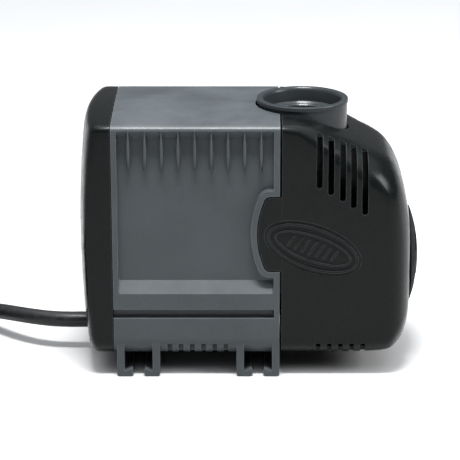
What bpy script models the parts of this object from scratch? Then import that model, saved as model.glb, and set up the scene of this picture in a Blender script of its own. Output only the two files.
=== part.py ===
"""Aquarium circulation pump: potted motor housing, rear cap, pump chamber and a pull-off strainer cover.

X runs along the pump: rear cap and cord at -X, cover and flow dial at +X. Z is up, and z = 0 is
the underside of the feet. The rotor turns on a line along X at height ROTOR_Z. Sizes are in
millimetres and become metres where vertices are made.
"""

import math

import bmesh
import bpy
from mathutils import Matrix, Vector

MM = 0.001
GAP = 0.3  # clearance between pieces that touch
TURN = 2 * math.pi

# Motor housing
HALF_WIDTH = 37.0
UNDERSIDE = 9.4
SHOULDER = 115.8  # height of the long top edges
CROWN = 1.3  # rise of the top between them
HOUSING_REAR = -60.4
HOUSING_FRONT = 13.3
WALL_FRONT = (-2.0, 2.0)  # the wall between motor space and chamber space
CAVITY_HALF = HALF_WIDTH - 5.0
CAVITY_FLOOR = UNDERSIDE + 4.4
CAVITY_TOP = SHOULDER - 4.8
BOTTOM_RADIUS = 9.0
TOP_RADIUS = 2.6

# Side recess with fins, ledge, groove and the seat for the cover's tab
PANEL_DEPTH = 2.5
PANEL_X = (-58.0, 10.7)
PANEL_TOP = 112.6
LEDGE = (39.3, 45.4)  # where the ledge leaves the side face, and where it meets the panel
GROOVE = (27.8, 32.0)
GROOVE_DEPTH = 1.4
FIN_COUNT = 9
FIN_PITCH = 7.25
FIN_FIRST = -52.9
FIN_WIDTH = 2.2
FIN_Z = (94.7, 114.0)
TAB = ((13.3, 83.8), (7.2, 82.9), (3.5, 66.5), (8.2, 50.6), (13.2, 49.9))
TAB_THICK = 2.3
TAB_GAP = 0.6

# Feet: two open channels that take the necks of suction feet
FOOT_X = (-49.6, 3.8)
FOOT_WIDTH = 19.2
FOOT_INNER = 12.6
FOOT_MOUTH = 4.6
FOOT_LIP = 4.0
FOOT_CEILING = 6.4
FOOT_SETBACK = 0.3
VENT_PITCH = 5.0
VENT_WIDTH = 2.2
VENT_TOP = 15.7
HOUSING_VENTS = (-35.5, 6)
COVER_VENTS = (30.6, 5)

# Rear cap
CAP_REAR = -76.45
CAP_WALL = 2.4
CAP_DOME_Y = 3.4
CAP_DOME_Z = 0.0011
CAP_DOME_CENTRE = 62.0
GASKET_THICK = 1.2

# Outlet and pump chamber
ROTOR_Z = 46.5
RIM_RADIUS = 20.5
OUTLET_X = RIM_RADIUS + 3.15
RIM_TOP = SHOULDER + 4.0
RIM_HEIGHT = 1.8
COLLAR_TOP_RADIUS = RIM_RADIUS - 0.4
COLLAR_FOOT_RADIUS = RIM_RADIUS - 1.6
COLLAR_TAPER_Z = RIM_TOP - 29.8
OUTLET_BORE = RIM_RADIUS - 3.3
OUTLET_THROAT = OUTLET_BORE - 2.7
THROAT_Z = RIM_TOP - 7.2
COLLAR_GAP = 0.6
CHAMBER_X = (4.9, 43.0)
CHAMBER_RADIUS = 28.0
CHAMBER_WALL = 2.4
INLET_RADIUS = 15.0
SCREW_OFFSET = CHAMBER_RADIUS * math.sqrt(0.5) + 2.2
SCREW_RADIUS = 1.5
SCREW_HEAD = 3.2

# Strainer cover
COVER_REAR = HOUSING_FRONT + GAP
COVER_FRONT = 71.6
COVER_WALL = 2.2
SLOT_WIDTH = 2.6
SLOTS = ((30.6, 87.9, 4.6), (35.6, 84.9, 6.6), (40.8, 82.0, 9.4), (45.6, 78.8, 11.6), (50.6, 75.8, 14.0))
OVAL_CENTRE = (27.9, 60.6)
OVAL_AXES = (21.2, 9.6)
OVAL_TILT = math.radians(-20.0)
OVAL_RAISE = 0.5
OVAL_RIM = 1.5

# Flow dial, its shutter and screw
DIAL_RADIUS = 21.7
DIAL_FRONT = COVER_FRONT + 4.9
DIAL_EDGE = 1.4
HUB_RADIUS = 7.0
SHUTTER_RADIUS = 17.0
SHUTTER_THICK = 1.8
WINDOW_RADII = (9.7, 15.5)
WINDOW_ANGLE = math.radians(46.0)

# Rotor, shaft and bearings
SHAFT_RADIUS = 2.0
BORE_GAP = 0.35
SHAFT_X = (-43.0, 35.0)
MAGNET_RADIUS = 12.6
MAGNET_X = (-37.0, -6.0)
WELL_INNER = 13.3
WELL_OUTER = 15.0
WELL_REAR = -47.0
WELL_FLANGE = CHAMBER_RADIUS + 0.6
BUSH_RADIUS = 5.0
BUSH_LENGTH = 6.0
WASHER_THICK = 1.0
IMPELLER_RADIUS = 20.0
IMPELLER_X = (9.0, 28.0)
VANES = 6

# Stator
CORE_X = (-36.0, -10.0)
LEG_Y = (14.5, 25.0)
SHOE_Y = 8.0
SHOE_TOP = 63.0
CORE_Z = (30.0, 108.0)
YOKE_Z = 96.5
BOBBIN_WALL = 1.0
BOBBIN_Z = (67.0, 95.5)
FLANGE_THICK = 1.2
WINDING_THICK = 4.2
RESIN_X = (-58.0, -55.0)

# Cord, coil and plug
CORD_RADIUS = 3.6
CORD_Z = 14.0
CORD_EXIT = -76.0
CORD_START = -65.5
COIL_CENTRE = (-181.0, 10.0)
COIL_TURNS_WIDE = 3
COIL_TURNS_HIGH = 2
COIL_MID = 54.0 - (COIL_TURNS_WIDE + 1) * CORD_RADIUS
ROUTE = (
    (CORD_START, 0.0, CORD_Z), (-70.0, 0.0, CORD_Z), (CORD_EXIT, 0.0, CORD_Z), (-84.0, 0.0, 14.0),
    (-92.0, 1.4, 13.9), (-100.0, 5.1, 13.5), (-108.0, 11.0, 12.6), (-115.0, 17.6, 11.3),
    (-121.5, 24.8, CORD_RADIUS + 5.8), (-127.5, 32.0, CORD_RADIUS + 3.6), (-133.0, 38.6, CORD_RADIUS + 1.6),
    (-137.2, 43.3, CORD_RADIUS + 0.5), (-141.3, 47.3, CORD_RADIUS + 0.15),
)
TAIL_Z = (2 * COIL_TURNS_HIGH + 1) * CORD_RADIUS + 0.4
TAIL = (
    (-176.0, 46.0, TAIL_Z), (-186.3, 44.2, TAIL_Z), (-193.2, 40.6, TAIL_Z + 0.4), (-199.0, 35.3, TAIL_Z + 1.2),
    (-203.2, 28.7, TAIL_Z + 2.4), (-205.5, 21.2, TAIL_Z + 3.9), (-206.0, 16.0, TAIL_Z + 4.9),
    (-206.0, 12.0, TAIL_Z + 5.5),
)
PLUG_AXIS = (-206.0, TAIL_Z + 5.5)
PLUG_Y = 11.2
RELIEF_LENGTH = 20.0
PLUG_LENGTH = 32.0
PLUG_WIDTH = 25.0
PLUG_HEIGHT = 18.0
BLADE_LENGTH = 16.0
BLADE_SIZE = (1.5, 6.3)
BLADE_SPACING = 12.7


# ---------------------------------------------------------------- making meshes and objects

def clear_scene():
    for obj in list(bpy.data.objects):
        bpy.data.objects.remove(obj, do_unlink=True)


def material(name, colour, roughness, metallic=0.0):
    made = bpy.data.materials.new(name)
    made.use_nodes = True
    shader = made.node_tree.nodes["Principled BSDF"]
    shader.inputs["Base Color"].default_value = (*colour, 1.0)
    shader.inputs["Roughness"].default_value = roughness
    shader.inputs["Metallic"].default_value = metallic
    return made


def place(bm, name, origin=(0, 0, 0)):
    """A mesh object whose origin is at `origin`, from a bmesh in world millimetres."""
    bmesh.ops.remove_doubles(bm, verts=bm.verts, dist=1e-5)
    bmesh.ops.recalc_face_normals(bm, faces=bm.faces)
    bmesh.ops.translate(bm, verts=bm.verts, vec=-Vector(origin))
    bmesh.ops.scale(bm, verts=bm.verts, vec=(MM, MM, MM))
    mesh = bpy.data.meshes.new(name)
    bm.to_mesh(mesh)
    bm.free()
    obj = bpy.data.objects.new(name, mesh)
    obj.location = Vector(origin) * MM
    bpy.context.scene.collection.objects.link(obj)
    return obj


def piece(bm, name, finish, origin=(0, 0, 0)):
    obj = place(bm, name, origin)
    obj.data.materials.append(finish)
    obj.data.shade_smooth()
    obj.data.set_sharp_from_angle(angle=math.radians(35))
    return obj


def helper(bm, name):
    obj = place(bm, name)
    obj.hide_render = True
    obj.display_type = "WIRE"
    return obj


def boolean(obj, operation, bm, label):
    other = helper(bm, f"{obj.name}_{label}")
    modifier = obj.modifiers.new(label, "BOOLEAN")
    modifier.operation = operation
    modifier.solver = "EXACT"
    modifier.object = other


def cut(obj, bm, label):
    boolean(obj, "DIFFERENCE", bm, label)


def join(obj, bm, label):
    boolean(obj, "UNION", bm, label)


def joined(parts):
    """One bmesh of several bodies that don't touch."""
    whole = bmesh.new()
    for bm in parts:
        mesh = bpy.data.meshes.new("body")
        bm.to_mesh(mesh)
        bm.free()
        whole.from_mesh(mesh)
        bpy.data.meshes.remove(mesh)
    return whole


def loft(rings, curved=False):
    """A closed body through rings of equal count, with a face over each end. A curved one is made of triangles."""
    bm = bmesh.new()
    rows = [[bm.verts.new(p) for p in ring] for ring in rings]
    count = len(rows[0])
    for low, high in zip(rows, rows[1:]):
        for i in range(count):
            j = (i + 1) % count
            bm.faces.new((low[i], low[j], high[j], high[i]))
    ends = [bm.faces.new(rows[0]), bm.faces.new(rows[-1])]
    if curved:
        bmesh.ops.poke(bm, faces=ends)
        bmesh.ops.triangulate(bm, faces=bm.faces)
    bmesh.ops.recalc_face_normals(bm, faces=bm.faces)
    return bm


def prism(outline, axis, low, high):
    """An outline of (a, b) pairs pushed along an axis: X takes (y, z), Y takes (x, z), Z takes (x, y)."""
    def at(a, b, c):
        return {"X": (c, a, b), "Y": (a, c, b), "Z": (a, b, c)}[axis]
    return loft([[at(a, b, c) for a, b in outline] for c in (low, high)])


def box(x, y, z):
    return prism(((x[0], y[0]), (x[1], y[0]), (x[1], y[1]), (x[0], y[1])), "Z", z[0], z[1])


def circle(centre, radius, count, start=0.0):
    step = TURN / count
    return [
        (centre[0] + radius * math.cos(start + i * step), centre[1] + radius * math.sin(start + i * step))
        for i in range(count)
    ]


def rod(axis, centre, radius, low, high, count=24):
    """A round bar, turned a little so that its corners stay off its neighbours' corners."""
    return prism(circle(centre, radius, count, 0.04), axis, low, high)


def turned(profile, axis, centre, count=32):
    """A profile of (distance along the axis, radius) pairs, closed round the axis."""
    bm = bmesh.new()
    rows = []
    for along, radius in profile:
        ring = circle(centre, radius, count) if radius > 0 else [centre]
        placed = [{"X": (along, a, b), "Z": (a, b, along)}[axis] for a, b in ring]
        rows.append([bm.verts.new(p) for p in placed])
    for low, high in zip(rows, rows[1:] + rows[:1]):
        for i in range(count):
            j = (i + 1) % count
            if len(low) == 1 and len(high) == 1:
                continue
            if len(low) == 1:
                bm.faces.new((low[0], high[j], high[i]))
            elif len(high) == 1:
                bm.faces.new((low[i], low[j], high[0]))
            else:
                bm.faces.new((low[i], low[j], high[j], high[i]))
    bmesh.ops.recalc_face_normals(bm, faces=bm.faces)
    return bm


def rounded(corners, steps=4):
    """Corner points (a, b, radius) of an outline, each corner with a radius turned into an arc."""
    points = []
    count = len(corners)
    for i, (a, b, radius) in enumerate(corners):
        here = Vector((a, b))
        if radius <= 0:
            points.append((a, b))
            continue
        before = (Vector(corners[i - 1][:2]) - here).normalized()
        after = (Vector(corners[(i + 1) % count][:2]) - here).normalized()
        half = before.angle(after) / 2
        centre = here + (before + after).normalized() * radius / math.sin(half)
        start = here + before * radius / math.tan(half) - centre
        sweep = start.angle_signed(here + after * radius / math.tan(half) - centre)
        for k in range(steps + 1):
            turned_to = Matrix.Rotation(-sweep * k / steps, 2) @ start
            points.append(tuple(centre + turned_to))
    return points


def section(half, low, high, r_low, r_high, crown=0.0):
    """The pump's upright section as (y, z) points: rounded corners, a crowned top, points along the sides."""
    r_low, r_high = min(r_low, half * 0.9), min(r_high, half * 0.9)
    straight = (low + r_low, high - r_high)
    side = [(half, straight[0] + (straight[1] - straight[0]) * f, 0) for f in (0.2, 0.45, 0.7, 0.88)]
    top = [((half - r_high) * f, high, 0) for f in (0.5, 0.0, -0.5)]
    corners = (
        [((half - r_low) * f, low, 0) for f in (-0.5, 0.5)]
        + [(half, low, r_low)] + side + [(half, high, r_high)]
        + top + [(-half, high, r_high)] + [(-y, z, 0) for y, z, _ in reversed(side)]
        + [(-half, low, r_low)]
    )
    middle = (low + high) / 2
    return [
        (y, z + crown * (1 - (y / half) ** 2) * max(0.0, (z - middle) / (high - middle)))
        for y, z in rounded(corners, 3)
    ]


def smooth_step(value):
    value = min(max(value, 0.0), 1.0)
    return value * value * (3 - 2 * value)


def both_sides(make):
    """Bodies for the side at -Y and for the side at +Y."""
    return joined([make(-1), make(1)])


def tube(name, points, radius, finish, sides=3):
    """A round tube through the smooth curve of its route points."""
    path = smooth_path([Vector(p) for p in points], 2.4 * radius)
    curve = bpy.data.curves.new(name, "CURVE")
    curve.dimensions = "3D"
    curve.bevel_depth = radius * MM
    curve.bevel_resolution = sides
    curve.use_fill_caps = True
    spline = curve.splines.new("POLY")
    spline.points.add(len(path) - 1)
    for point, place_at in zip(spline.points, path):
        point.co = (*(place_at * MM), 1.0)
    obj = bpy.data.objects.new(name, curve)
    curve.materials.append(finish)
    bpy.context.scene.collection.objects.link(obj)
    return obj


def smooth_path(points, spacing):
    """Even points along a Catmull-Rom curve through the route points."""
    ends = [2 * points[0] - points[1]] + points + [2 * points[-1] - points[-2]]
    fine = []
    for a, b, c, d in zip(ends, ends[1:], ends[2:], ends[3:]):
        for k in range(12):
            t = k / 12
            fine.append(0.5 * (2 * b + (c - a) * t + (2 * a - 5 * b + 4 * c - d) * t * t
                               + (3 * b - a - 3 * c + d) * t * t * t))
    fine.append(points[-1])
    lengths = [0.0]
    for a, b in zip(fine, fine[1:]):
        lengths.append(lengths[-1] + (b - a).length)
    count = max(2, round(lengths[-1] / spacing))
    path, at = [], 0
    for k in range(count + 1):
        target = lengths[-1] * k / count
        while at < len(fine) - 2 and lengths[at + 1] < target:
            at += 1
        span = lengths[at + 1] - lengths[at]
        path.append(fine[at].lerp(fine[at + 1], (target - lengths[at]) / span))
    return path


# ---------------------------------------------------------------- motor housing

def outer_rings(xs):
    ring = section(HALF_WIDTH, UNDERSIDE, SHOULDER, BOTTOM_RADIUS, TOP_RADIUS, CROWN)
    return [[(x, y, z) for y, z in ring] for x in xs]


def inner_prism(low, high, inset=0.0):
    ring = section(CAVITY_HALF - inset, CAVITY_FLOOR + inset, CAVITY_TOP - inset, 6.0, 4.0)
    return prism(ring, "X", low, high)


def tab_outline(grow, reach):
    """The cover's side tab, grown outward by `grow`, running forward to x = `reach`."""
    (x0, z0), (x1, z1), (x2, z2), (x3, z3), (x4, z4) = TAB
    corners = (
        (reach, z0 + grow, 0), (x0, z0 + grow, 0), (x1 - grow, z1 + grow, 2.5), (x2 - grow, z2, 16.0),
        (x3 - grow, z3 - grow, 2.5), (x4, z4 - grow, 0), (reach, z4 - grow, 0),
    )
    return rounded(corners)


def recess_outline(bottom, top):
    left, right = PANEL_X
    rim = 2.6
    (_, z0), (x1, z1), (x2, z2), (x3, z3), (_, z4) = TAB
    corners = (
        (left, bottom, 1.0), (right, bottom, 1.0), (right, z4 - rim, 0), (x3 - rim + 0.6, z3 - rim, 2.0),
        (x2 - rim, z2, 16.0), (x1 - rim + 0.6, z1 + rim, 2.0), (right, z0 + rim - 1.0, 0), (right, top, 1.0),
        (left, top, 1.0),
    )
    return rounded(corners)


def side_recess(side):
    """The framed panel: its cutter widens outward along the sloped ledge and the rounded top."""
    beyond = 3.0
    slope = (LEDGE[1] - LEDGE[0]) / PANEL_DEPTH
    outer = recess_outline(LEDGE[0] - slope * beyond, PANEL_TOP + 0.9 * beyond)
    inner = recess_outline(LEDGE[1], PANEL_TOP - 2.2)
    rings = [
        [(x, side * (HALF_WIDTH + beyond), z) for x, z in outer],
        [(x, side * (HALF_WIDTH - PANEL_DEPTH), z) for x, z in inner],
    ]
    return loft(rings)


def fin(side, index):
    """One upright fin: a slim lens, standing from the panel to just inside the side face."""
    x = FIN_FIRST + index * FIN_PITCH
    low, high = FIN_Z
    half = FIN_WIDTH / 2
    outline = [
        (x, low), (x + 0.7 * half, low + 3.5), (x + half, low + 9.0), (x + half, high),
        (x - half, high), (x - half, low + 9.0), (x - 0.7 * half, low + 3.5),
    ]
    inner, outer = HALF_WIDTH - PANEL_DEPTH - 0.6, HALF_WIDTH - 0.35
    return loft([[(a, side * y, b) for a, b in outline] for y in (inner, outer)])


def foot(centre):
    """A channel along Y with two inward lips at its mouth."""
    out, into, mouth = FOOT_WIDTH / 2, FOOT_INNER / 2, FOOT_MOUTH / 2
    top = (UNDERSIDE + CAVITY_FLOOR) / 2
    half = [
        (out, top, 0), (out, FOOT_CEILING, 0), (out - 0.1, 0.0, 1.2), (mouth + 1.0, 0.0, 0.8),
        (mouth, FOOT_LIP / 2, 0), (mouth + 0.4, FOOT_LIP, 0.6), (into, FOOT_LIP - 1.6, 0.5), (into, FOOT_CEILING, 0.8),
    ]
    corners = half + [(-a, b, r) for a, b, r in reversed(half)]
    outline = [(centre + a, b) for a, b in rounded(corners, 2)]
    reach = HALF_WIDTH - FOOT_SETBACK
    return prism(outline, "Y", -reach, reach)


def vents(first, count, depth):
    """Slots cut up into the lower corners on both sides, with round upper ends."""
    half = VENT_WIDTH / 2
    bodies = []
    for side in (-1, 1):
        for i in range(count):
            x = first + i * VENT_PITCH
            corners = ((x - half, 4.0, 0), (x + half, 4.0, 0), (x + half, VENT_TOP, 0.9), (x - half, VENT_TOP, 0.9))
            ys = (side * (HALF_WIDTH + 2), side * (HALF_WIDTH - depth))
            bodies.append(prism(rounded(corners, 2), "Y", *ys))
    return joined(bodies)


def screw_places():
    return [(y, ROTOR_Z + z) for y in (-SCREW_OFFSET, SCREW_OFFSET) for z in (-SCREW_OFFSET, SCREW_OFFSET)]


def motor_housing(finish):
    body = piece(loft(outer_rings((HOUSING_REAR, HOUSING_FRONT))), "motor_housing", finish)
    cut(body, inner_prism(HOUSING_REAR - 2, WALL_FRONT[0]), "motor_space")
    cut(body, inner_prism(WALL_FRONT[1], HOUSING_FRONT + 2), "chamber_space")
    notch = rod("Z", (OUTLET_X, 0), RIM_RADIUS + COLLAR_GAP, CAVITY_TOP - 6, RIM_TOP + 4, 36)
    cut(body, notch, "outlet_notch")
    cut(body, both_sides(side_recess), "panels")
    tab_floor = HALF_WIDTH - TAB_THICK - GAP
    cut(body, both_sides(lambda s: prism(tab_outline(TAB_GAP, HOUSING_FRONT + 3), "Y",
                                         s * tab_floor, s * (HALF_WIDTH + 3))), "tab_seats")
    groove_floor = HALF_WIDTH - GROOVE_DEPTH
    cut(body, both_sides(lambda s: prism(((HOUSING_REAR - 2, GROOVE[0]), (HOUSING_FRONT - 2.3, GROOVE[0]),
                                          (HOUSING_FRONT - 2.3, GROOVE[1]), (HOUSING_REAR - 2, GROOVE[1])),
                                         "Y", s * groove_floor, s * (HALF_WIDTH + 3))), "grooves")
    cut(body, vents(*HOUSING_VENTS, HALF_WIDTH - CAVITY_HALF - 1.0), "vents")
    cut(body, rod("X", (0, ROTOR_Z), WELL_OUTER + GAP, WALL_FRONT[0] - 1, WALL_FRONT[1] + 1, 28), "well_hole")
    holes = [rod("X", at, SCREW_RADIUS + GAP, WALL_FRONT[0] - 1, WALL_FRONT[1] + 1, 12) for at in screw_places()]
    cut(body, joined(holes), "screw_holes")
    join(body, joined([fin(s, i) for s in (-1, 1) for i in range(FIN_COUNT)]), "fins")
    join(body, joined([foot(x) for x in FOOT_X]), "feet")
    return body


# ---------------------------------------------------------------- rear cap, gasket, cord clamp

def cap_rear_x(y, z, offset):
    dome = CAP_DOME_Y * (y / HALF_WIDTH) ** 2 + CAP_DOME_Z * (z - CAP_DOME_CENTRE) ** 2
    return CAP_REAR + dome + offset


def cap_solid(inset, front, offset):
    """The cap's outer or inner form: straight walls, a rolled edge and a domed rear."""
    rings = []
    base = section(HALF_WIDTH - inset, UNDERSIDE + inset, SHOULDER - inset, BOTTOM_RADIUS - inset / 2,
                   TOP_RADIUS, CROWN)
    rings.append([(front, y, z) for y, z in base])
    # each row: how far the ring is drawn in, and how far it stands back at the side and at the top
    for drawn, side_back, top_back in ((0, 2.2, 4.4), (0.8, 0.9, 2.0), (2.4, 0.3, 0.8), (6.5, 0.0, 0.1),
                                         (20.0, 0.0, 0.0), (33.0, 0.0, 0.0)):
        half = HALF_WIDTH - inset - drawn
        ring = section(half, UNDERSIDE + inset + drawn, SHOULDER - inset - drawn,
                       max(BOTTOM_RADIUS - inset / 2 - drawn / 2, 2.0), TOP_RADIUS + drawn / 3, CROWN)
        row = []
        for y, z in ring:
            high = smooth_step((z - 92.0) / 22.0)
            low = smooth_step((26.0 - z) / 16.0)
            back = side_back + (top_back - side_back) * max(high, 0.6 * low)
            row.append((cap_rear_x(y, z, offset + back), y, z))
        rings.append(row)
    return loft(rings, curved=True)


def rear_cap(finish):
    cap = piece(cap_solid(0.0, HOUSING_REAR - GAP, 0.0), "rear_cap", finish)
    cut(cap, cap_solid(CAP_WALL, HOUSING_REAR + 4, CAP_WALL), "inside")
    cut(cap, rod("X", (0, CORD_Z), CORD_RADIUS + GAP, CAP_REAR - 4, CORD_START + 3, 20), "cord_hole")
    return cap


def rear_gasket(finish):
    """A flat frame in the step between the cap's wall and the potted motor space."""
    outer = section(CAVITY_HALF - GAP, CAVITY_FLOOR + GAP, CAVITY_TOP - GAP, 5.8, 3.8)
    inner = section(CAVITY_HALF - 3.0, CAVITY_FLOOR + 3.0, CAVITY_TOP - 3.0, 4.0, 2.6)
    rear = HOUSING_REAR + 0.2
    frame = piece(prism(outer, "X", rear, rear + GASKET_THICK), "rear_gasket", finish)
    cut(frame, prism(inner, "X", rear - 1, rear + GASKET_THICK + 1), "window")
    return frame


def cord_clamp(finish, steel):
    """A saddle over the cord inside the cap, held by two screws."""
    low = CORD_Z + CORD_RADIUS + GAP
    x = (-70.0, -64.5)
    corners = ((-12.0, low - 1.6, 0.6), (-4.6, low - 1.6, 0), (-4.6, low, 0), (4.6, low, 0), (4.6, low - 1.6, 0),
               (12.0, low - 1.6, 0.6), (12.0, low + 2.4, 1.0), (-12.0, low + 2.4, 1.0))
    saddle = piece(prism(rounded(corners, 2), "X", *x), "cord_clamp", finish)
    mid = sum(x) / 2
    cut(saddle, joined([rod("Z", (mid, y), 1.5, low - 4, low + 4, 12) for y in (-8.5, 8.5)]), "holes")
    for number, y in enumerate((-8.5, 8.5), 1):
        head = low + 2.4 + GAP
        profile = ((head + 1.8, 0), (head + 1.8, 2.0), (head + 1.2, 2.7), (head, 2.7), (head, 1.2),
                   (low - 3.4, 1.2), (low - 3.4, 0))
        piece(turned(profile, "Z", (mid, y), 12), f"clamp_screw_{number}", steel)


# ---------------------------------------------------------------- stator

def stator_core(finish):
    low, high = CORE_Z
    inner, outer = LEG_Y
    right = [(SHOE_Y, low), (outer, low), (outer, high)]
    outline = right + [(-y, z) for y, z in reversed(right)]
    outline += [(-SHOE_Y, SHOE_TOP), (-inner, SHOE_TOP + 2.5), (-inner, YOKE_Z), (inner, YOKE_Z)]
    outline += [(inner, SHOE_TOP + 2.5), (SHOE_Y, SHOE_TOP)]
    core = piece(prism(outline, "X", *CORE_X), "stator_core", finish)
    cut(core, rod("X", (0, ROTOR_Z), WELL_OUTER + 0.4, CORE_X[0] - 1, CORE_X[1] + 1, 28), "pole_faces")
    return core


def rectangle(x, y, z_low, z_high, radius):
    corners = ((x[0], y[0], radius), (x[1], y[0], radius), (x[1], y[1], radius), (x[0], y[1], radius))
    return prism(rounded(corners, 2), "Z", z_low, z_high)


def coil_on_leg(side, number, plastic, copper):
    """A bobbin round one leg of the core, and the winding between its flanges."""
    def ys(grow):
        return tuple(sorted((side * (LEG_Y[0] - grow), side * (LEG_Y[1] + grow))))

    def xs(grow):
        return (CORE_X[0] - grow, CORE_X[1] + grow)

    low, high = BOBBIN_Z
    wall = GAP + BOBBIN_WALL
    rim = wall + WINDING_THICK + 0.6
    bobbin = piece(rectangle(xs(wall), ys(wall), low, high, 0.6), f"coil_bobbin_{number}", plastic)
    for label, z in (("lower_flange", low), ("upper_flange", high - FLANGE_THICK)):
        join(bobbin, rectangle(xs(rim), ys(rim), z, z + FLANGE_THICK, 2.0), label)
    cut(bobbin, rectangle(xs(GAP), ys(GAP), low - 1, high + 1, 0.2), "leg_hole")
    inner, outer = wall + GAP, wall + WINDING_THICK
    z = (low + FLANGE_THICK + GAP, high - FLANGE_THICK - GAP)
    winding = piece(rectangle(xs(outer), ys(outer), *z, 3.0), f"coil_winding_{number}", copper)
    cut(winding, rectangle(xs(inner), ys(inner), z[0] - 1, z[1] + 1, 0.6), "bobbin_hole")


def potting_resin(finish):
    slab = piece(inner_prism(*RESIN_X, GAP), "potting_resin", finish)
    return slab


# ---------------------------------------------------------------- rotor and bearings

def round_piece(name, profile, finish, count=32, origin=None):
    return piece(turned(profile, "X", (0, ROTOR_Z), count), name, finish, origin or (0, 0, 0))


def rotor_well(finish):
    """The can that keeps water from the stator: a closed tube, a flange, a spigot with an O-ring groove."""
    rear, face, flange = WELL_REAR, WALL_FRONT[1] + GAP, CHAMBER_X[0] - GAP
    spigot = CHAMBER_RADIUS - CHAMBER_WALL - GAP
    profile = (
        (rear, 0), (rear, WELL_OUTER), (face, WELL_OUTER), (face, WELL_FLANGE), (flange, WELL_FLANGE),
        (flange, spigot), (flange + 0.9, spigot), (flange + 0.9, spigot - 2.0), (flange + 3.3, spigot - 2.0),
        (flange + 3.3, spigot), (flange + 4.2, spigot), (flange + 4.2, spigot - 3.4), (flange, spigot - 3.4),
        (flange, WELL_INNER), (rear + 2.0, WELL_INNER), (rear + 2.0, 0),
    )
    return round_piece("rotor_well", profile, finish, 28)


def ring_profile(low, high, inner, outer):
    return ((low, inner), (low, outer), (high, outer), (high, inner))


def chamber_o_ring(finish):
    spigot = CHAMBER_RADIUS - CHAMBER_WALL - GAP
    centre = (CHAMBER_X[0] - GAP + 2.1, spigot - 0.85)
    profile = [(centre[0] + 0.85 * math.cos(t * TURN / 6), centre[1] + 0.85 * math.sin(t * TURN / 6)) for t in range(6)]
    return round_piece("chamber_o_ring", profile, finish, 28)


def bearings(ceramic, rubber):
    bore = SHAFT_RADIUS + BORE_GAP
    round_piece("rotor_shaft", ((SHAFT_X[0], 0), (SHAFT_X[0], SHAFT_RADIUS - 0.4), (SHAFT_X[0] + 0.4, SHAFT_RADIUS),
                                (SHAFT_X[1] - 0.4, SHAFT_RADIUS), (SHAFT_X[1], SHAFT_RADIUS - 0.4), (SHAFT_X[1], 0)),
                ceramic, 16)
    rear = WELL_REAR + 2.0 + GAP
    round_piece("rear_bushing", ((rear, 0), (rear, BUSH_RADIUS), (rear + BUSH_LENGTH, BUSH_RADIUS),
                                 (rear + BUSH_LENGTH, bore), (SHAFT_X[0] - GAP, bore), (SHAFT_X[0] - GAP, 0)), rubber, 20)
    front = SHAFT_X[1] + 2.0
    round_piece("front_bushing", ((front, 0), (front, BUSH_RADIUS), (front - BUSH_LENGTH, BUSH_RADIUS),
                                  (front - BUSH_LENGTH, bore), (SHAFT_X[1] + GAP, bore), (SHAFT_X[1] + GAP, 0)),
                rubber, 20)
    behind = rear + BUSH_LENGTH + GAP
    round_piece("rear_thrust_washer", ring_profile(behind, behind + WASHER_THICK, bore, 4.4), ceramic, 20)
    ahead = front - BUSH_LENGTH - GAP
    round_piece("front_thrust_washer", ring_profile(ahead - WASHER_THICK, ahead, bore, 4.4), ceramic, 20)
    return bore


def rotor(bore, ferrite, plastic):
    axis = (MAGNET_X[0], 0, ROTOR_Z)
    low, high = MAGNET_X
    profile = ((low, bore), (low, MAGNET_RADIUS - 1), (low + 1, MAGNET_RADIUS), (high - 1, MAGNET_RADIUS),
               (high, MAGNET_RADIUS - 1), (high, bore))
    magnet = round_piece("rotor_magnet", profile, ferrite, 24, axis)
    disc, end = IMPELLER_X
    hub = ((high + GAP, bore), (high + GAP, 6.0), (disc, 6.0), (disc, IMPELLER_RADIUS), (disc + 1.6, IMPELLER_RADIUS),
           (disc + 1.6, 6.0), (end, 5.0), (end, bore))
    impeller = round_piece("impeller", hub, plastic, 24, axis)
    blades = []
    for i in range(VANES):
        blade = box((disc + 0.6, end - 1.0), (4.2, IMPELLER_RADIUS - 0.4), (-0.9, 0.9))
        turn = Matrix.Translation((0, 0, ROTOR_Z)) @ Matrix.Rotation(TURN * i / VANES, 4, "X")
        bmesh.ops.transform(blade, matrix=turn, verts=blade.verts)
        blades.append(blade)
    join(impeller, joined(blades), "vanes")
    return [magnet, impeller]


# ---------------------------------------------------------------- pump chamber

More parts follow.
